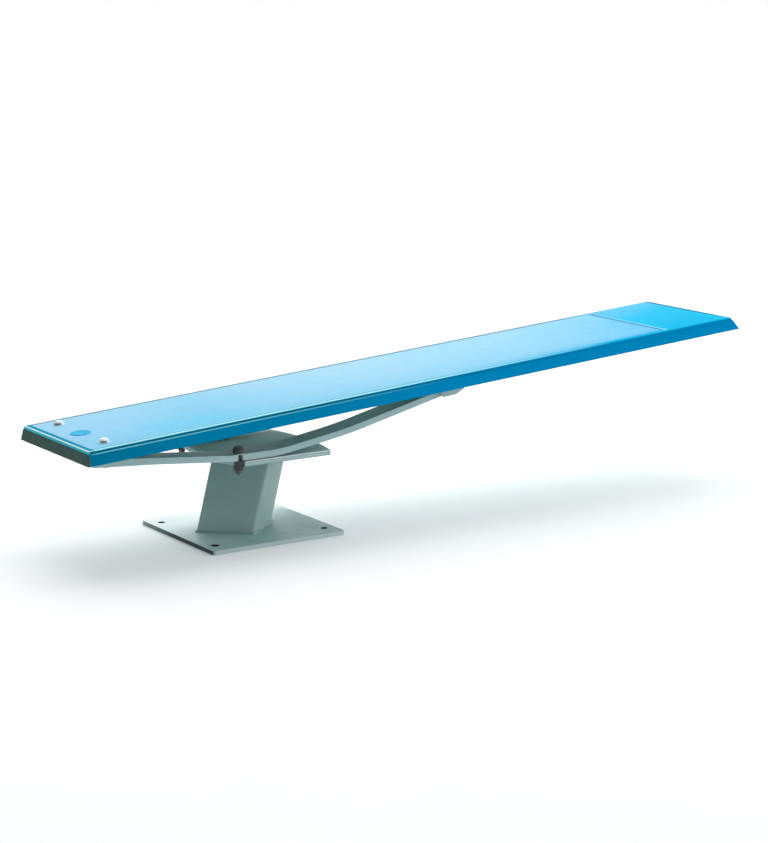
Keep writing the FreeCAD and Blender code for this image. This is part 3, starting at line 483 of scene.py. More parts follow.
def tread(name):
    """Pale non-slip top: fine grit set in blue resin, under a painted reflection that pales it
    along the middle and the far side and leaves it bluer at its near border and toward the tip."""
    g = Graph(name)
    x, y, z = g.split()
    cloud = g.noise(3.2, 5.0, 0.62, g.mapped((0.7, 1.6, 1.0)))
    small = g.noise(26.0, 6.0, 0.66)
    # painted reflection: the tone along the panel's length
    tone = g.ramp(g.rng(x, 0.0, 2.134, 0.0, 1.0), TREAD_STOPS)
    # painted reflection: bluer on the near side, paler on the far side
    side = g.rng(y, -0.19, 0.19, 0.0, 1.0)
    tone = g.mix(g.rng(side, 0.0, 0.45, 0.34, 0.0), tone, TREAD_DEEP)
    tone = g.mix(g.rng(side, 0.55, 1.0, 0.0, 0.30), tone, TREAD_PALE)
    patch = g.math("MULTIPLY", g.rng(x, 0.17, 0.30, 0.0, 1.0), g.rng(x, 0.62, 0.42, 0.0, 1.0))
    patch = g.math("MULTIPLY", patch, g.rng(y, 0.02, -0.10, 0.0, 1.0))
    patch = g.math("MULTIPLY", patch, g.rng(cloud, 0.34, 0.56, 0.15, 0.50))
    tone = g.mix(patch, tone, srgb(84, 204, 242))
    # painted reflection: the near border bluer toward the tip
    rim = g.math("MULTIPLY", g.rng(y, -0.150, -0.192, 0.0, 0.75), g.rng(x, 1.2, 2.1, 0.0, 1.0))
    tone = g.mix(rim, tone, TREAD_DEEP)
    tone = g.mix(g.rng(cloud, 0.35, 0.65, 0.0, 0.30), tone, TREAD_MID)
    tone = g.mix(g.rng(small, 0.45, 0.75, 0.0, 0.10), tone, TREAD_DEEP)
    tone = g.mix(g.rng(x, 2.1190, 2.1215, 0.0, 0.80), tone, srgb(10, 132, 180))
    grit = g.voronoi(620.0)
    fine = g.noise(1500.0, 2.0, 0.6)
    tone = g.mix(g.rng(grit, 0.0, 0.35, 0.06, 0.0), tone, (0.80, 0.92, 1.0, 1))
    r = g.rng(small, 0.3, 0.7, 0.52, 0.68)
    n = g.bump(g.rng(grit, 0.0, 0.6, 1.0, 0.0), 0.30, 0.0007)
    n = g.bump(fine, 0.15, 0.0003, n)
    return g.done(tone, r, n, IOR=1.45, Specular_IOR_Level=0.1)


TREAD_STOPS = [(0.0, srgb(150, 206, 238)), (0.10, srgb(146, 208, 238)),
               (0.24, srgb(128, 202, 232)), (0.36, srgb(152, 210, 238)),
               (0.55, srgb(160, 214, 238)), (0.80, srgb(150, 210, 238)),
               (0.92, srgb(122, 202, 238)), (1.0, srgb(100, 194, 238))]
TREAD_DEEP = srgb(60, 184, 232)
TREAD_MID = srgb(136, 208, 238)
TREAD_PALE = srgb(186, 224, 240)


def cap_shade(g, tone):
    """Tail caps: painted shade low on each cap's near side, under its rim."""
    x, y, z = g.split()
    side = g.rng(y, -0.0001, 0.0001, -CAP_Y, CAP_Y)
    dx = g.math("MULTIPLY", g.math("SUBTRACT", x, CAP_X), -0.43)
    dy = g.math("MULTIPLY", g.math("SUBTRACT", y, side), -0.90)
    near = g.rng(g.math("ADD", dx, dy), 0.0085, 0.0130, 0.0, 0.85)
    return g.mix(g.math("MULTIPLY", near, g.rng(z, 0.0500, 0.0470, 0.0, 1.0)), tone,
                 srgb(52, 100, 108))


CAP_X, CAP_Y = 0.0925, 0.15


def plain_plastic(name, tone, dark, rough=0.3, coat=0.2, spec=0.5, extra=None):
    g = Graph(name)
    mid = g.noise(90.0, 5.0, 0.6)
    c = g.mix(g.rng(mid, 0.42, 0.78, 0.0, 0.35), tone, dark)
    if extra:
        c = extra(g, c)
    r = g.rng(mid, 0.3, 0.75, rough - 0.05, rough + 0.12)
    n = g.bump(g.noise(500.0, 2.0, 0.5), 0.06, 0.0004)
    return g.done(c, r, n, IOR=1.45, Coat_Weight=coat, Coat_Roughness=0.15,
                  Specular_IOR_Level=spec)


def wood(name):
    g = Graph(name)
    grain = g.noise(30.0, 6.0, 0.65, g.mapped((0.15, 3.0, 3.0)), 0.8)
    c = g.ramp(grain, [(0.3, srgb(214, 178, 126)), (0.55, srgb(190, 146, 92)),
                       (0.75, srgb(150, 108, 64))])
    n = g.bump(grain, 0.2, 0.0006)
    return g.done(c, g.rng(grain, 0.3, 0.7, 0.55, 0.7), n)


M = {
    "stand_paint": powder_coat("stand_paint", srgb(160, 192, 190), srgb(150, 184, 182),
                               stand_light_and_shade),
    "saddle_paint": powder_coat("saddle_paint", srgb(164, 194, 194), srgb(154, 186, 187),
                                saddle_shade, 0.06),
    "rail_paint": powder_coat("rail_paint", srgb(160, 190, 192), srgb(148, 180, 184),
                              rail_shade),
    "fulcrum_paint": powder_coat("fulcrum_paint", srgb(150, 178, 182), srgb(138, 168, 174)),
    "weld_paint": powder_coat("weld_paint", srgb(152, 180, 180), srgb(138, 168, 168)),
    "board_gelcoat": board_gelcoat("board_gelcoat"),
    "under_skin": gelcoat("under_skin", srgb(168, 204, 200), srgb(152, 190, 188), 0.40),
    "tread_grit": tread("tread_grit"),
    "pad_rubber": rubber("pad_rubber", (0.095, 0.140, 0.145, 1)),
    "gasket_rubber": rubber("gasket_rubber"),
    "bushing_rubber": rubber("bushing_rubber", (0.035, 0.042, 0.044, 1)),
    "washer_steel": steel("washer_steel", (0.66, 0.68, 0.69, 1), 0.28),
    "bolt_steel": steel("bolt_steel", (0.58, 0.60, 0.61, 1), 0.34),
    "medallion_plastic": plain_plastic("medallion_plastic", srgb(6, 182, 228), srgb(2, 160, 214),
                                       0.45, 0.0, 0.05),
    "cap_plastic": plain_plastic("cap_plastic", srgb(244, 246, 247), srgb(226, 230, 231),
                                 extra=cap_shade),
    "core_wood": wood("core_wood"),
    "clamp_steel": steel_black("clamp_steel"),
}

SLOT = {s["node"]: s["material_slot"] for s in frame["record"]["subparts"]}


def paint(obj, slot_name):
    obj.data.materials.clear()
    obj.data.materials.append(M[slot_name])


for name, obj in NODES.items():
    paint(obj, SLOT[name])

# ------------------------------------------------------------------ mesh tools
def link(name, mesh, matrix=None):
    o = bpy.data.objects.new(name, mesh)
    scene.collection.objects.link(o)
    if matrix is not None:
        o.matrix_world = matrix
    return o


def finish_mesh(bm, name, angle=32.0, weld=1e-6):
    bmesh.ops.remove_doubles(bm, verts=bm.verts, dist=weld)
    bmesh.ops.dissolve_degenerate(bm, dist=1e-7, edges=bm.edges)
    bmesh.ops.recalc_face_normals(bm, faces=bm.faces)
    me = bpy.data.meshes.new(name)
    bm.to_mesh(me)
    bm.free()
    for p in me.polygons:
        p.use_smooth = True
    me.set_sharp_from_angle(angle=math.radians(angle))
    return me


def piece(name, mesh, slot_name, body, nodes, matrix=None):
    o = link(name, mesh, matrix)
    paint(o, slot_name)
    for n in nodes:
        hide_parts(n)
    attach(o, body)
    return o


def tube_loops(bm, loops, close_start=True, close_end=True, wrap=False):
    """Skins a stack of vertex rings that all have the same count."""
    rings = [[bm.verts.new(p) for p in ring] for ring in loops]
    n = len(rings[0])
    pairs = list(zip(rings[:-1], rings[1:]))
    if wrap:
        pairs.append((rings[-1], rings[0]))
    for a, b in pairs:
        for i in range(n):
            j = (i + 1) % n
            bm.faces.new((a[i], a[j], b[j], b[i]))
    if not wrap:
        if close_start:
            bm.faces.new(list(reversed(rings[0])))
        if close_end:
            bm.faces.new(rings[-1])
    return rings


def lathe_into(bm, profile, centre, seg=64, wobble=0.0):
    """Profile of (r, z) turned about a vertical line; r = 0 ends are closed."""
    cx, cy, cz = centre
    closed = profile[0][0] > 1e-9 or profile[-1][0] > 1e-9
    rings = []
    for r, z in profile:
        if r <= 1e-9:
            rings.append([bm.verts.new((cx, cy, cz + z))])
        else:
            rings.append([bm.verts.new((cx + r * math.cos(2 * math.pi * i / seg),
                                        cy + r * math.sin(2 * math.pi * i / seg),
                                        cz + z)) for i in range(seg)])
    pairs = list(zip(rings[:-1], rings[1:]))
    if closed:
        pairs.append((rings[-1], rings[0]))
    for a, b in pairs:
        for i in range(seg):
            j = (i + 1) % seg
            if len(a) == 1 and len(b) == 1:
                continue
            if len(a) == 1:
                bm.faces.new((a[0], b[j], b[i]))
            elif len(b) == 1:
                bm.faces.new((a[i], a[j], b[0]))
            else:
                bm.faces.new((a[i], a[j], b[j], b[i]))


def soften(profile, r=0.0003, steps=3):
    """Rounds the corners of an open or closed (r, z) profile a little."""
    out = []
    n = len(profile)
    closed = profile[0][0] > 1e-9 and profile[-1][0] > 1e-9
    for i in range(n):
        p = Vector(profile[i])
        if not closed and i in (0, n - 1):
            out.append(tuple(p))
            continue
        a, b = Vector(profile[i - 1]), Vector(profile[(i + 1) % n])
        da, db = a - p, b - p
        if da.length < 1e-9 or db.length < 1e-9 or da.angle(db) > math.radians(160):
            out.append(tuple(p))
            continue
        t = min(r, da.length * 0.45, db.length * 0.45)
        s, e = p + da.normalized() * t, p + db.normalized() * t
        for k in range(steps + 1):
            u = k / steps
            v = s * (1 - u) ** 2 + p * 2 * u * (1 - u) + e * u ** 2
            out.append((max(v.x, 0.0), v.y))
    return out


def lathes(name, slot_name, body, nodes, profile, centres, matrix=None,
           seg=64, soft=0.0003, angle=40.0):
    bm = bmesh.new()
    prof = soften(profile, soft) if soft else profile
    for c in centres:
        lathe_into(bm, prof, c, seg)
    return piece(name, finish_mesh(bm, name, angle), slot_name, body, nodes, matrix)


def hex_nut_into(bm, centre, flats, thick, bore, top_round=True, under_round=True, seg=72):
    """Hexagon nut with its corners turned off to a cone on the faces."""
    cx, cy, cz = centre
    rc = flats / 2 * 1.035

    def hexr(a):
        a = (math.degrees(a)) % 60 - 30
        return flats / 2 / math.cos(math.radians(a))

    def ring(fr, fz):
        out = []
        for i in range(seg):
            a = 2 * math.pi * i / seg
            r = fr(a)
            out.append((cx + r * math.cos(a), cy + r * math.sin(a), cz + fz(a)))
        return out

    def drop(a):
        return max(0.0, hexr(a) - rc) * 0.6 + 0.00012

    ch = bore * 0.09 + 0.0002
    if bore > 0:
        loops = [
            ring(lambda a: bore / 2, lambda a: ch),
            ring(lambda a: bore / 2 + ch, lambda a: 0.0),
            ring(lambda a: min(hexr(a), rc) - 0.0002, lambda a: 0.0),
            ring(hexr, drop if under_round else (lambda a: 0.0001)),
            ring(hexr, lambda a: thick - (drop(a) if top_round else 0.0001)),
            ring(lambda a: min(hexr(a), rc) - 0.0002, lambda a: thick),
            ring(lambda a: bore / 2 + ch, lambda a: thick),
            ring(lambda a: bore / 2, lambda a: thick - ch),
        ]
        tube_loops(bm, loops, wrap=True)
    else:
        loops = [
            ring(lambda a: min(hexr(a), rc) - 0.0002, lambda a: 0.0),
            ring(hexr, drop if under_round else (lambda a: 0.0001)),
            ring(hexr, lambda a: thick - drop(a)),
            ring(lambda a: min(hexr(a), rc) - 0.0002, lambda a: thick),
            ring(lambda a: rc * 0.72, lambda a: thick),
            ring(lambda a: rc * 0.66, lambda a: thick - 0.0004),
        ]
        tube_loops(bm, loops)


def thread_into(bm, centre, dia, z0, z1, pitch=0.00195, plain_from=None, seg=28):
    """Bolt shank: a screw thread up to plain_from, then plain shank."""
    cx, cy, cz = centre
    r = dia / 2
    depth = pitch * 0.5
    plain_from = z1 if plain_from is None else plain_from
    n = max(2, int((plain_from - z0) / (pitch / 4)))
    loops = []

    def ring(fr, z):
        return [(cx + fr(2 * math.pi * i / seg) * math.cos(2 * math.pi * i / seg),
                 cy + fr(2 * math.pi * i / seg) * math.sin(2 * math.pi * i / seg),
                 cz + z) for i in range(seg)]

    loops.append(ring(lambda a: r * 0.70, z0))
    for k in range(n + 1):
        z = z0 + 0.0006 + (plain_from - z0 - 0.0006) * k / n
        fade = min(1.0, (z - z0) / 0.0015)

        def fr(a, z=z, fade=fade):
            ph = (z / pitch - a / (2 * math.pi)) % 1.0
            tri = abs(2 * ph - 1)
            return (r - depth * tri) * (0.86 + 0.14 * fade)

        loops.append(ring(fr, z))
    if plain_from < z1 - 1e-6:
        loops.append(ring(lambda a: r, plain_from + 0.001))
        loops.append(ring(lambda a: r, z1))
    tube_loops(bm, loops)


def outline_mesh(name, loops, thick, bevel, segs=3):
    """Plate from a closed outline and its holes (2-D points in metres), with
    rounded edges.  It lies from z = 0 to z = thick."""
    cu = bpy.data.curves.new(name, "CURVE")
    cu.dimensions = "2D"
    cu.fill_mode = "BOTH"
    cu.extrude = thick / 2 - bevel
    cu.bevel_depth = bevel
    cu.bevel_resolution = segs
    cu.offset = -bevel
    for loop in loops:
        sp = cu.splines.new("POLY")
        sp.points.add(len(loop) - 1)
        for p, v in zip(sp.points, loop):
            p.co = (v[0], v[1], 0, 1)
        sp.use_cyclic_u = True
    tmp = bpy.data.objects.new(name + "_tmp", cu)
    scene.collection.objects.link(tmp)
    bpy.context.view_layer.update()
    dg = bpy.context.evaluated_depsgraph_get()
    me = bpy.data.meshes.new_from_object(tmp.evaluated_get(dg))
    bpy.data.objects.remove(tmp)
    bpy.data.curves.remove(cu)
    bm = bmesh.new()
    bm.from_mesh(me)
    bpy.data.meshes.remove(me)
    bmesh.ops.translate(bm, verts=bm.verts, vec=(0, 0, thick / 2))
    return bm


def rounded(pts, radii, steps=6):
    """Corners of a polygon replaced by arcs."""
    out = []
    n = len(pts)
    for i in range(n):
        r = radii[i] if isinstance(radii, (list, tuple)) else radii
        p = Vector(pts[i])
        a, b = Vector(pts[i - 1]) - p, Vector(pts[(i + 1) % n]) - p
        ang = a.angle(b)
        if r <= 0 or ang > math.radians(179.5):
            out.append(tuple(p))
            continue
        t = r / math.tan(ang / 2)
        t = min(t, a.length * 0.49, b.length * 0.49)
        s, e = p + a.normalized() * t, p + b.normalized() * t
        rr = t * math.tan(ang / 2)
        c = p + (a.normalized() + b.normalized()).normalized() * (rr / math.sin(ang / 2))
        a0 = math.atan2(s.y - c.y, s.x - c.x)
        a1 = math.atan2(e.y - c.y, e.x - c.x)
        d = (a1 - a0 + math.pi) % (2 * math.pi) - math.pi
        for k in range(steps + 1):
            x = a0 + d * k / steps
            out.append((c.x + rr * math.cos(x), c.y + rr * math.sin(x)))
    return out


def ring2d(x, y, dia, seg=40):
    return [(x + dia / 2 * math.cos(2 * math.pi * i / seg),
             y + dia / 2 * math.sin(2 * math.pi * i / seg)) for i in range(seg)]


def polished(node, name, width=0.0012, segs=2, angle=22.0, body=None):
    """The CAD solid with its edges eased, as a new piece."""
    bm = bmesh.new()
    bm.from_mesh(NODES[node].data)
    bmesh.ops.remove_doubles(bm, verts=bm.verts, dist=2e-5)
    bmesh.ops.dissolve_limit(bm, angle_limit=math.radians(0.6), verts=bm.verts,
                             edges=bm.edges, delimit=set())
    sharp = [e for e in bm.edges if len(e.link_faces) == 2 and
             e.calc_face_angle(0.0) > math.radians(angle)]
    bmesh.ops.bevel(bm, geom=sharp, offset=width, segments=segs, profile=0.6,
                    affect="EDGES", clamp_overlap=True)
    me = finish_mesh(bm, name, 30.0, 1e-6)
    return piece(name, me, SLOT[node], body or NODES[node]["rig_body"], [node])


# ------------------------------------------------------------------ board shell
def board_ring(z, off, rc, box=None, n=8):
    """Rounded-rectangle loop round the board at height z."""
    k = z / H
    if box is None:
        xa, xb = TD * k + off, L - PD * k - off
        yh = W / 2 - SD * k - off
    else:
        xa, xb, yh = box
    r = max(rc, 0.0006)
    pts = []
    for cx, cy, a0 in ((xb - r, yh - r, 0), (xa + r, yh - r, 90),
                       (xa + r, -yh + r, 180), (xb - r, -yh + r, 270)):
        for i in range(n + 1):
            a = math.radians(a0 + 90 * i / n)
            pts.append((cx + r * math.cos(a), cy + r * math.sin(a), z))
    # straight sides carry a few more points
    out = []
    for i, p in enumerate(pts):
        out.append(p)
        q_ = pts[(i + 1) % len(pts)]
        if i % (n + 1) == n:
            m = 14 if abs(p[0] - q_[0]) > 0.5 else 4
            for t in range(1, m):
                u = t / m
                out.append(tuple(p[j] + (q_[j] - p[j]) * u for j in range(3)))
    return out


mm = MM
RX0, RX1, RY = 31 * mm, 2134 * mm, W / 2 - SD - 24 * mm
def stack(*rows):
    return [board_ring(z * mm, off * mm, rc * mm) for z, off, rc in rows]


# Outside wall from the inside ceiling round the lower lip to the rim: plain
# side, a small ledge, the trim band above it, then the rolled rim.
rings = stack((38.4, 4.0, 2.6), (3.0, 4.0, 2.6), (0.5, 4.0, 2.6), (0.0, 3.6, 3.0),
              (0.0, 0.7, 5.4), (0.15, 0.25, 5.8), (0.5, 0.03, 6.0), (1.2, 0.0, 6.0),
              (16.0, 0.0, 6.0), (31.0, 0.0, 6.0), (31.7, 0.1, 5.9), (32.2, 0.45, 5.6),
              (32.5, 1.0, 5.2), (32.8, 1.5, 4.9), (33.4, 1.8, 4.7), (34.4, 1.85, 4.6),
              (37.0, 1.3, 5.0), (38.4, 0.95, 5.2), (39.4, 1.0, 5.1), (40.3, 1.35, 4.8),
              (41.1, 1.95, 4.4), (41.7, 2.75, 3.8), (42.1, 3.8, 3.2), (42.3, 5.0, 2.6),
              (42.4, 6.4, 2.2))
for grow, z, rc in ((4.2, 42.4, 6.5), (2.6, 42.45, 6), (1.9, 42.75, 5.6), (1.1, 42.95, 5.2),
                    (0.4, 42.8, 4.8), (0.0, 42.3, 4.4), (-0.1, 41.3, 4.2), (-0.5, 41.2, 4)):
    gm = grow * mm
    rings.append(board_ring(z * mm, 0, rc * mm, (RX0 - gm, RX1 + gm, RY + gm)))
bm = bmesh.new()
tube_loops(bm, rings)
shell = piece("board_shell_skin", finish_mesh(bm, "board_shell_skin", 50), "board_gelcoat",
              "board", ["board_shell"], BOARD)

# Non-slip panel: eased edges and a very slight crown.
bm = bmesh.new()
ta, tb_, ty_ = RX0 + 0.5 * mm, RX1 - 0.5 * mm, RY - 0.5 * mm


def tread_ring(grow, z, rc):
    g_ = grow * mm
    return board_ring(z * mm, 0, rc * mm, (ta - g_, tb_ + g_, ty_ + g_))


tube_loops(bm, [tread_ring(-1, 41.25, 3), tread_ring(0, 41.25, 4), tread_ring(0, 42.2, 4),
                tread_ring(-0.3, 42.55, 3.8), tread_ring(-0.9, 42.75, 3.4),
                tread_ring(-2.2, 42.8, 3)])
piece("tread_surface", finish_mesh(bm, "tread_surface", 40), "tread_grit", "board",
      ["tread_panel"], BOARD)

# Underside skin with eased edges, stopped 0.1 mm inside the shell's wall.
bm = bmesh.new()
tube_loops(bm, [board_ring(3.0 * mm, 4.3 * mm, 9.6 * mm), board_ring(0.7 * mm, 4.3 * mm, 9.6 * mm),
                board_ring(0.2 * mm, 4.7 * mm, 9.2 * mm), board_ring(0.0, 5.6 * mm, 8.6 * mm)])
piece("underside_skin", finish_mesh(bm, "underside_skin", 40), "under_skin", "board",
      ["bottom_skin"], BOARD)

# ------------------------------------------------------------------ stand plates
BASE = 457.2 * mm
bm = outline_mesh("base", [rounded([(-BASE / 2, -BASE / 2), (BASE / 2, -BASE / 2),
                                    (BASE / 2, BASE / 2), (-BASE / 2, BASE / 2)], 12 * mm, 8)] +
                  [ring2d(sx * 190.5 * mm, sy * 168 * mm, 20.6 * mm)
                   for sx in (-1, 1) for sy in (-1, 1)], 12.7 * mm, 1.3 * mm)
piece("base_plate_cut", finish_mesh(bm, "base_plate_cut", 40), "stand_paint", "stand",
      ["base_plate"])

LEAN = 0.257
Z0, Z1 = 12.7 * mm, 243.5 * mm


def diamond_ring(z, grow=0.0, r=9.0 * mm, steps=8, hx=134.0 * mm, hy=117.0 * mm, extra=0):
    cx = -29 * mm + LEAN * (z - Z0)
    pts = rounded([(cx - hx - grow, 0), (cx, -hy - grow), (cx + hx + grow, 0), (cx, hy + grow)],
                  r, steps)
    if extra:
        out = []
        n = len(pts)
        for i, p in enumerate(pts):
            out.append(p)
            q_ = pts[(i + 1) % n]
            if i % (steps + 1) == steps:
                for t in range(1, extra):
                    u = t / extra
                    out.append((p[0] + (q_[0] - p[0]) * u, p[1] + (q_[1] - p[1]) * u))
        pts = out
    return [(x, y, z) for x, y in pts]


bm = bmesh.new()
hollow = dict(r=4 * mm, hx=122.4 * mm, hy=105.4 * mm)
loops = [diamond_ring(Z0 + (Z1 - Z0) * i / 6) for i in range(7)]
loops += [diamond_ring(Z1 - (Z1 - Z0) * i / 6, **hollow) for i in range(7)]
tube_loops(bm, loops, wrap=True)
piece("column_plate", finish_mesh(bm, "column_plate", 35), "stand_paint", "stand",
      ["pedestal_column"])


def weld_bead(name, node, at_foot):
    """Hand-laid fillet weld: overlapping ripples that wander a little."""
    rnd = random.Random(11 if at_foot else 23)
    sect = 7
    count_side, steps = 96, 8
    base = diamond_ring(Z0, 0.0, 9 * mm, steps, extra=count_side)
    n = len(base)
    lens = [0.0]
    for i in range(n):
        a, b = Vector(base[i]), Vector(base[(i + 1) % n])
        lens.append(lens[-1] + (b - a).length)
    total = lens[-1]
    ripples = round(total / (5.2 * mm))
    jitter = [rnd.uniform(-1, 1) for _ in range(ripples + 1)]
    jitter[-1] = jitter[0]
    rings = []
    for k in range(sect):
        f = k / (sect - 1)
        ring = []
        for i in range(n):
            s = lens[i] / total * ripples
            ph = s % 1.0
            scallop = 0.55 * (1 - abs(2 * ph - 1) ** 1.6)
            j0 = jitter[int(s) % ripples]
            j1 = jitter[(int(s) + 1) % ripples]
            wander = (j0 + (j1 - j0) * ph) * 0.45
            leg = (7.0 + wander) * mm
            bulge = (0.9 + scallop) * mm * math.sin(math.pi * f)
            out = leg * (1 - f) + bulge * 0.7
            up = leg * f + bulge * 0.7
            z = Z0 + up if at_foot else Z1 - up
            p0 = diamond_pts(z, out, i, base, n)
            ring.append(p0)
        rings.append(ring)
    inner_wide = []
    for i in range(n):
        z = Z0 + 0.2 * mm if at_foot else Z1 - 0.2 * mm
        inner_wide.append(diamond_pts(z, -0.6 * mm, i, base, n))
    rings.append([diamond_pts(Z0 + 6.6 * mm if at_foot else Z1 - 6.6 * mm, -0.6 * mm, i, base, n)
                  for i in range(n)])
    rings.append(inner_wide)
    bm = bmesh.new()
    tube_loops(bm, rings, wrap=True)
    return piece(name, finish_mesh(bm, name, 60), "weld_paint", "stand", [node])


def diamond_pts(z, out, i, base, n):
    """Point i of the column's outline at z, moved out along its own normal."""
    p = Vector(base[i]).to_2d()
    a, b = Vector(base[i - 1]).to_2d(), Vector(base[(i + 1) % n]).to_2d()
    t = (b - a).normalized()
    nrm = Vector((t.y, -t.x))
    shift = LEAN * (z - Z0)
    return (p.x + nrm.x * out + shift, p.y + nrm.y * out, z)


weld_bead("foot_weld_bead", "foot_weld", True)
weld_bead("head_weld_bead", "head_weld", False)

# Saddle plate: rolled edge with a shallow line round it, a cut-out at each
# rear corner for the clamp.
CUT = 13.5 * mm
CX, CY = -111 * mm, 175 * mm


def saddle_outline():
    pts, hy = [], 192 * mm
    n = 24
    for i in range(n + 1):
        k = -1 + 2 * i / n
        pts.append(((203 + (1 - k * k) * 27) * mm, k * hy))
    # far side back to the cut-out, its arc, then the bowed rear end
    back = lambda y: (-113 - (1 - (y / hy) ** 2) * 29) * mm
    y_end = 0.1655
    for _ in range(30):
        dx = back(y_end) - CX
        y_end = CY - math.sqrt(max(CUT ** 2 - dx ** 2, 0))
    x_end = back(y_end)
    a1 = math.atan2(y_end - CY, x_end - CX)

    def arc(sign):
        out = [(CX + CUT, sign * hy), (CX + CUT, sign * (hy + CY) / 2)]
        m = 18
        a_end = a1
        for i in range(m + 1):
            a = 0 + (a_end - 0) * i / m
            out.append((CX + CUT * math.cos(a), sign * (CY + CUT * math.sin(a))))
        return out

    pts += arc(1)
    for i in range(1, n):
        y = y_end - 2 * y_end * i / n
        pts.append((back(y), y))
    pts += list(reversed(arc(-1)))
    rad = []
    for p in pts:
        if abs(abs(p[1]) - hy) < 1e-6 and p[0] > 0.19:
            rad.append(19 * mm)
        elif abs(abs(p[1]) - hy) < 1e-6:
            rad.append(1.5 * mm)
        elif abs(abs(p[1]) - y_end) < 1e-6 and abs(p[0] - x_end) < 1e-6:
            rad.append(1.0 * mm)
        else:
            rad.append(0)
    return rounded(pts, rad, 7)


def inset(points, d):
    """Closed outline (anticlockwise) moved inward by d."""
    n = len(points)
    out = []
    for i in range(n):
        p = Vector(points[i])
        a, b_ = (p - Vector(points[i - 1])), (Vector(points[(i + 1) % n]) - p)
        if a.length < 1e-9 or b_.length < 1e-9:
            out.append(tuple(p))
            continue
        a.normalize()
        b_.normalize()
        na, nb = Vector((-a.y, a.x)), Vector((-b_.y, b_.x))
        m = (na + nb)
        m = m / max(m.length_squared, 0.4) * 2
        out.append((p.x + m.x * d, p.y + m.y * d))
    return out


def area2(points):
    return sum(points[i - 1][0] * points[i][1] - points[i][0] * points[i - 1][1]
               for i in range(len(points)))


clean = []
for p in saddle_outline():
    if not clean or (Vector(p) - Vector(clean[-1])).length > 4e-4:
        clean.append(p)
if area2(clean) < 0:
    clean.reverse()
edge = [(0.0, 4.6), (0.25, 3.0), (0.9, 1.7), (2.0, 0.8), (3.6, 0.2), (5.4, 0.0), (6.8, 0.0),
        (7.5, 0.35), (8.0, 0.75), (8.5, 0.35), (9.2, 0.0), (11.0, 0.0), (12.8, 0.2),
        (14.4, 0.8), (15.5, 1.7), (16.2, 3.0), (16.5, 4.6)]
bm = bmesh.new()
tube_loops(bm, [[(x, y, z * mm) for x, y in inset(clean, off * mm)] for z, off in edge])
piece("saddle_plate_cut", finish_mesh(bm, "saddle_plate_cut", 50), "saddle_paint", "stand",
      ["saddle_plate"], Matrix.Translation((0, 0, 243.5 * mm)))

# Spring rails, fulcrum and its pad keep their solids' form, edges eased.
polished("near_spring_rail", "near_rail_leaf", 2.2 * mm, 3)
polished("far_spring_rail", "far_rail_leaf", 2.2 * mm, 3)
polished("fulcrum_bar", "fulcrum_crossbar", 1.2 * mm, 2)
polished("fulcrum_pad", "fulcrum_rubber", 1.5 * mm, 3)
polished("rail_pads", "rail_seat_pads", 0.8 * mm, 2)
polished("tail_gaskets", "tail_gasket_pads", 0.8 * mm, 2)

# ------------------------------------------------------------------ clamps
both = [(CX, -CY), (CX, CY)]


def at(z):
    return [(x, y, z * mm) for x, y in both]


def P(*pairs):
    return [(a * mm, b * mm) for a, b in pairs]


lathes("clamp_seat_rings", "washer_steel", "spring", ["clamp_seat_washers"],
       P((8.5, 0), (18.4, 0), (18.4, 1.4), (17.4, 2.0), (9.2, 2.0), (8.5, 1.6)), at(283))
dome = lathes("clamp_domes", "bushing_rubber", "stand", ["upper_bushings"],
              P((6.4, 0), (16.2, 0), (17.2, 0.9), (17.4, 2.4), (17.3, 3.6), (16.6, 4.2),
                (16.6, 5.0), (17.2, 5.7), (17.1, 8.4), (16.7, 10.8), (16.1, 12.4), (15.3, 13.0),
                (6.4, 13.0)), at(285), soft=0.0006)
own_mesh(dome)
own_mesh(bpy.data.objects["rail_seat_pads"])
lathes("clamp_cup_washers", "clamp_steel", "stand", ["clamp_top_washers"],
       P((6.4, 0.2), (14.8, 0), (15.5, 0.3), (15.4, 1.3), (14.6, 2.0), (6.4, 2.0)), at(298))
bm = bmesh.new()
for x, y in both:
    lathe_into(bm, soften(P((0, 0), (6.3, 0), (13.4, 0), (13.6, 0.6), (13.5, 3.0), (12.7, 4.4),
                            (11.2, 5.3), (8.6, 5.6), (4.4, 5.6), (3.9, 5.2), (0, 5.2)), 0.0005),
               (x, y, 300 * mm), 48)
    thread_into(bm, (x, y, 0), 12.6 * mm, 220.6 * mm, 299.95 * mm, plain_from=262 * mm)
piece("clamp_bolts_threaded", finish_mesh(bm, "clamp_bolts_threaded", 45), "clamp_steel",
      "stand", ["clamp_bolts"])
lathes("clamp_cones", "bushing_rubber", "stand", ["lower_bushings"],
       P((6.4, 0), (15.0, 0), (15.7, 0.8), (15.7, 2.6), (15.1, 3.2), (15.1, 4.0), (15.5, 4.6),
         (15.2, 7.4), (14.6, 8.0), (13.0, 8.0), (13.0, 14.0), (12.6, 14.5), (12.6, 15.1),
         (13.0, 15.6), (12.9, 25.2), (12.2, 26.0), (6.4, 26.0)), at(235.5), soft=0.0005)
lathes("clamp_under_washers", "clamp_steel", "stand", ["clamp_bottom_washers"],
       P((6.4, 0), (15.4, 0), (15.4, 2.0), (6.4, 2.0)), at(233.5))
bm = bmesh.new()
for x, y in both:
    hex_nut_into(bm, (x, y, 224.5 * mm), 19 * mm, 9 * mm, 12.75 * mm)
piece("clamp_hex_nuts", finish_mesh(bm, "clamp_hex_nuts", 25), "clamp_steel", "stand",
      ["clamp_nuts"])

# ------------------------------------------------------------------ tail fixings
TX, TY = 92.5 * mm, 150 * mm
tails = [(TX, -TY), (TX, TY)]


def tz(z):
    return [(x, y, z * mm) for x, y in tails]


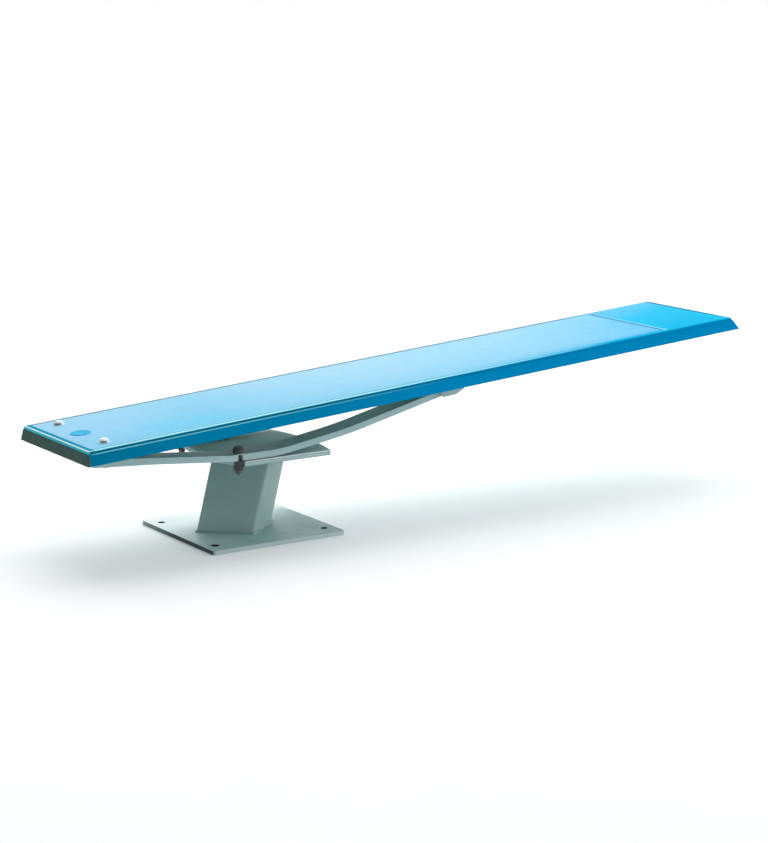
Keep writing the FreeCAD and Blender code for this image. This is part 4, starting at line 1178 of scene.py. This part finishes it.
lathes("tail_head_washers", "washer_steel", "board", ["tail_bolt_washers"],
       P((6.5, 0), (16.9, 0), (16.9, 0.6), (16.2, 1.2), (6.5, 1.2)), tz(42.8), BOARD)
bm = bmesh.new()
for x, y in tails:
    hex_nut_into(bm, (x, y, 44.0 * mm), 19 * mm, 6.0 * mm, 0, under_round=False)
    thread_into(bm, (x, y, 0), 12.6 * mm, -32.8 * mm, 43.9 * mm, plain_from=-6 * mm)
piece("tail_bolts_threaded", finish_mesh(bm, "tail_bolts_threaded", 30), "bolt_steel", "board",
      ["tail_bolts"], BOARD)
prof = [(15.4, 0), (15.5, 0.9), (15.1, 1.5), (14.3, 1.9)]
for i in range(1, 13):
    a = math.radians(90 * i / 12)
    prof.append((14.3 * math.cos(a) ** 0.8, 1.9 + 8.9 * math.sin(a)))
prof[-1] = (0, 10.8)
prof += [(0, 9.4)]
for i in range(11, 0, -1):
    a = math.radians(90 * i / 12)
    prof.append((12.9 * math.cos(a) ** 0.8, 0.9 + 8.4 * math.sin(a)))
prof += [(13.2, 0.6), (13.4, 0)]
bm = bmesh.new()
for x, y in tails:
    ring_prof = [(a * mm, b * mm) for a, b in prof]
    cx, cy, cz = x, y, 44.0 * mm
    seg = 64
    rr = []
    for r, z in ring_prof:
        if r <= 1e-9:
            rr.append([bm.verts.new((cx, cy, cz + z))])
        else:
            rr.append([bm.verts.new((cx + r * math.cos(2 * math.pi * i / seg),
                                     cy + r * math.sin(2 * math.pi * i / seg), cz + z))
                       for i in range(seg)])
    m_ = len(rr)
    for k in range(m_):
        a_, b_ = rr[k], rr[(k + 1) % m_]
        if len(a_) == 1 and len(b_) == 1:
            continue
        for i in range(seg):
            j = (i + 1) % seg
            if len(a_) == 1:
                bm.faces.new((a_[0], b_[j], b_[i]))
            elif len(b_) == 1:
                bm.faces.new((a_[i], a_[j], b_[0]))
            else:
                bm.faces.new((a_[i], a_[j], b_[j], b_[i]))
piece("tail_dome_caps", finish_mesh(bm, "tail_dome_caps", 40), "cap_plastic", "board",
      ["tail_bolt_caps"], BOARD)
lathes("tail_under_rubbers", "bushing_rubber", "board", ["tail_lower_bushings"],
       P((6.5, 0), (16.6, 0), (17.4, 0.8), (17.4, 2.2), (16.6, 3.0), (6.5, 3.0)), tz(-24.2), BOARD)
lathes("tail_under_washers", "washer_steel", "board", ["tail_lower_washers"],
       P((6.5, 0), (16.4, 0), (16.4, 1.5), (6.5, 1.5)), tz(-25.7), BOARD)
bm = bmesh.new()
for x, y in tails:
    hex_nut_into(bm, (x, y, -31.7 * mm), 19 * mm, 6 * mm, 12.75 * mm)
piece("tail_hex_nuts", finish_mesh(bm, "tail_hex_nuts", 25), "bolt_steel", "board",
      ["tail_nuts"], BOARD)

# Plain round disc between the tail bolts, with a turned rim and ring.
lathes("tail_disc", "medallion_plastic", "board", ["medallion"],
       P((0, 0), (30.9, 0), (30.9, 1.0), (30.2, 1.7), (28.6, 1.8), (27.0, 1.5), (26.2, 1.2),
         (20.5, 1.2), (20.0, 1.45), (18.6, 1.45), (18.1, 1.2), (0, 1.3)),
       [(91 * mm, 0, 42.8 * mm)], BOARD, seg=96)

# Fulcrum screws and nuts
SX = 1256 * mm
spots = [(SX, s * (150.999 + k * 22) * mm) for s in (-1, 1) for k in (-1, 1)]
bm = bmesh.new()
for x, y in spots:
    lathe_into(bm, soften(P((0, -0.15), (2.4, -0.15), (2.4, -2.6), (2.2, -2.8), (0, -2.8)), 0), (x, y, -5 * mm), 6)
    thread_into(bm, (x, y, 0), 7.9 * mm, -32.6 * mm, -9.4 * mm, pitch=1.25 * mm, seg=20)
    lathe_into(bm, soften(P((2.5, -0.1), (7.8, -0.1), (7.8, -0.5), (4.0, -4.4), (2.5, -4.4)), 0.0001),
               (x, y, -5 * mm), 40)
piece("fulcrum_screws_threaded", finish_mesh(bm, "fulcrum_screws_threaded", 35), "bolt_steel",
      "spring", ["fulcrum_screws"], BOARD)
bm = bmesh.new()
for x, y in spots:
    hex_nut_into(bm, (x, y, -28.5 * mm), 13 * mm, 6.4 * mm, 8.0 * mm)
piece("fulcrum_hex_nuts", finish_mesh(bm, "fulcrum_hex_nuts", 25), "bolt_steel", "spring",
      ["fulcrum_nuts"], BOARD)

# ------------------------------------------------------------------ floor, light
face_dir = Vector((math.sin(math.radians(33.4)), math.cos(math.radians(33.4)), 0))
side_dir = Vector((face_dir.y, -face_dir.x, 0))


def sheet(name, rows, half, material):
    me = bpy.data.meshes.new(name)
    b_ = bmesh.new()
    grid = [[b_.verts.new(face_dir * d + side_dir * s_ + Vector((0, 0, h)))
             for s_ in (-half, half)] for d, h in rows]
    for i in range(len(grid) - 1):
        b_.faces.new((grid[i][0], grid[i][1], grid[i + 1][1], grid[i + 1][0]))
    b_.to_mesh(me)
    b_.free()
    for p in me.polygons:
        p.use_smooth = True
    me.materials.append(material)
    o = bpy.data.objects.new(name, me)
    scene.collection.objects.link(o)
    return o


def paper(name, glow):
    g = Graph(name)
    n = g.noise(1.5, 3.0, 0.5)
    c = g.mix(g.rng(n, 0.3, 0.7, 0.0, 1.0), (0.93, 0.935, 0.94, 1), (0.91, 0.915, 0.92, 1))
    m = g.done(c, 0.9)
    g.bsdf.inputs["Emission Color"].default_value = (1, 1, 1, 1)
    g.bsdf.inputs["Emission Strength"].default_value = glow
    return m


sheet("floor", [(-14, -0.0004), (9.0, -0.0004)], 22, paper("floor_paper", 0.12))
sweep = []
for i in range(17):
    t = math.pi / 2 * i / 16
    sweep.append((9.0 + 5 * math.sin(t), 5 * (1 - math.cos(t)) - 0.0004))
sweep.append((14.0, 16.0))
sheet("backdrop", sweep, 22, paper("backdrop_paper", 0.5))

world = bpy.data.worlds.new("studio")
scene.world = world
world.use_nodes = True
wt = world.node_tree
wt.nodes.clear()
wo = wt.nodes.new("ShaderNodeOutputWorld")
bg = wt.nodes.new("ShaderNodeBackground")
wt.links.new(bg.outputs[0], wo.inputs[0])
tc = wt.nodes.new("ShaderNodeTexCoord")
dot = wt.nodes.new("ShaderNodeVectorMath")
dot.operation = "DOT_PRODUCT"
dot.inputs[1].default_value = Vector((0.85, 0.15, 0.50)).normalized()
wt.links.new(tc.outputs["Generated"], dot.inputs[0])
ramp = wt.nodes.new("ShaderNodeValToRGB")
ramp.color_ramp.elements[0].position = 0.25
ramp.color_ramp.elements[0].color = (0.08, 0.085, 0.09, 1)
ramp.color_ramp.elements[1].position = 0.95
ramp.color_ramp.elements[1].color = (1.0, 1.01, 1.02, 1)
mr = wt.nodes.new("ShaderNodeMapRange")
mr.inputs["From Min"].default_value = -1
mr.inputs["From Max"].default_value = 1
wt.links.new(dot.outputs["Value"], mr.inputs["Value"])
wt.links.new(mr.outputs["Result"], ramp.inputs[0])
wt.links.new(ramp.outputs[0], bg.inputs[0])
bg.inputs[1].default_value = 1.0


def area(name, loc, target, size, power, color=(1, 1, 1)):
    d = bpy.data.lights.new(name, "AREA")
    d.energy = power
    d.color = color
    d.shape = "RECTANGLE"
    d.size, d.size_y = size
    o = bpy.data.objects.new(name, d)
    scene.collection.objects.link(o)
    o.location = loc
    o.rotation_euler = (Vector(target) - Vector(loc)).to_track_quat("-Z", "Y").to_euler()
    return o


area("key", (2.6, 4.2, 6.2), (0.5, 0, 0.3), (7.5, 7.5), 440)
area("side_fill", (5.5, -4.5, 1.7), (0.3, 0, 0.25), (2.5, 2.0), 60)
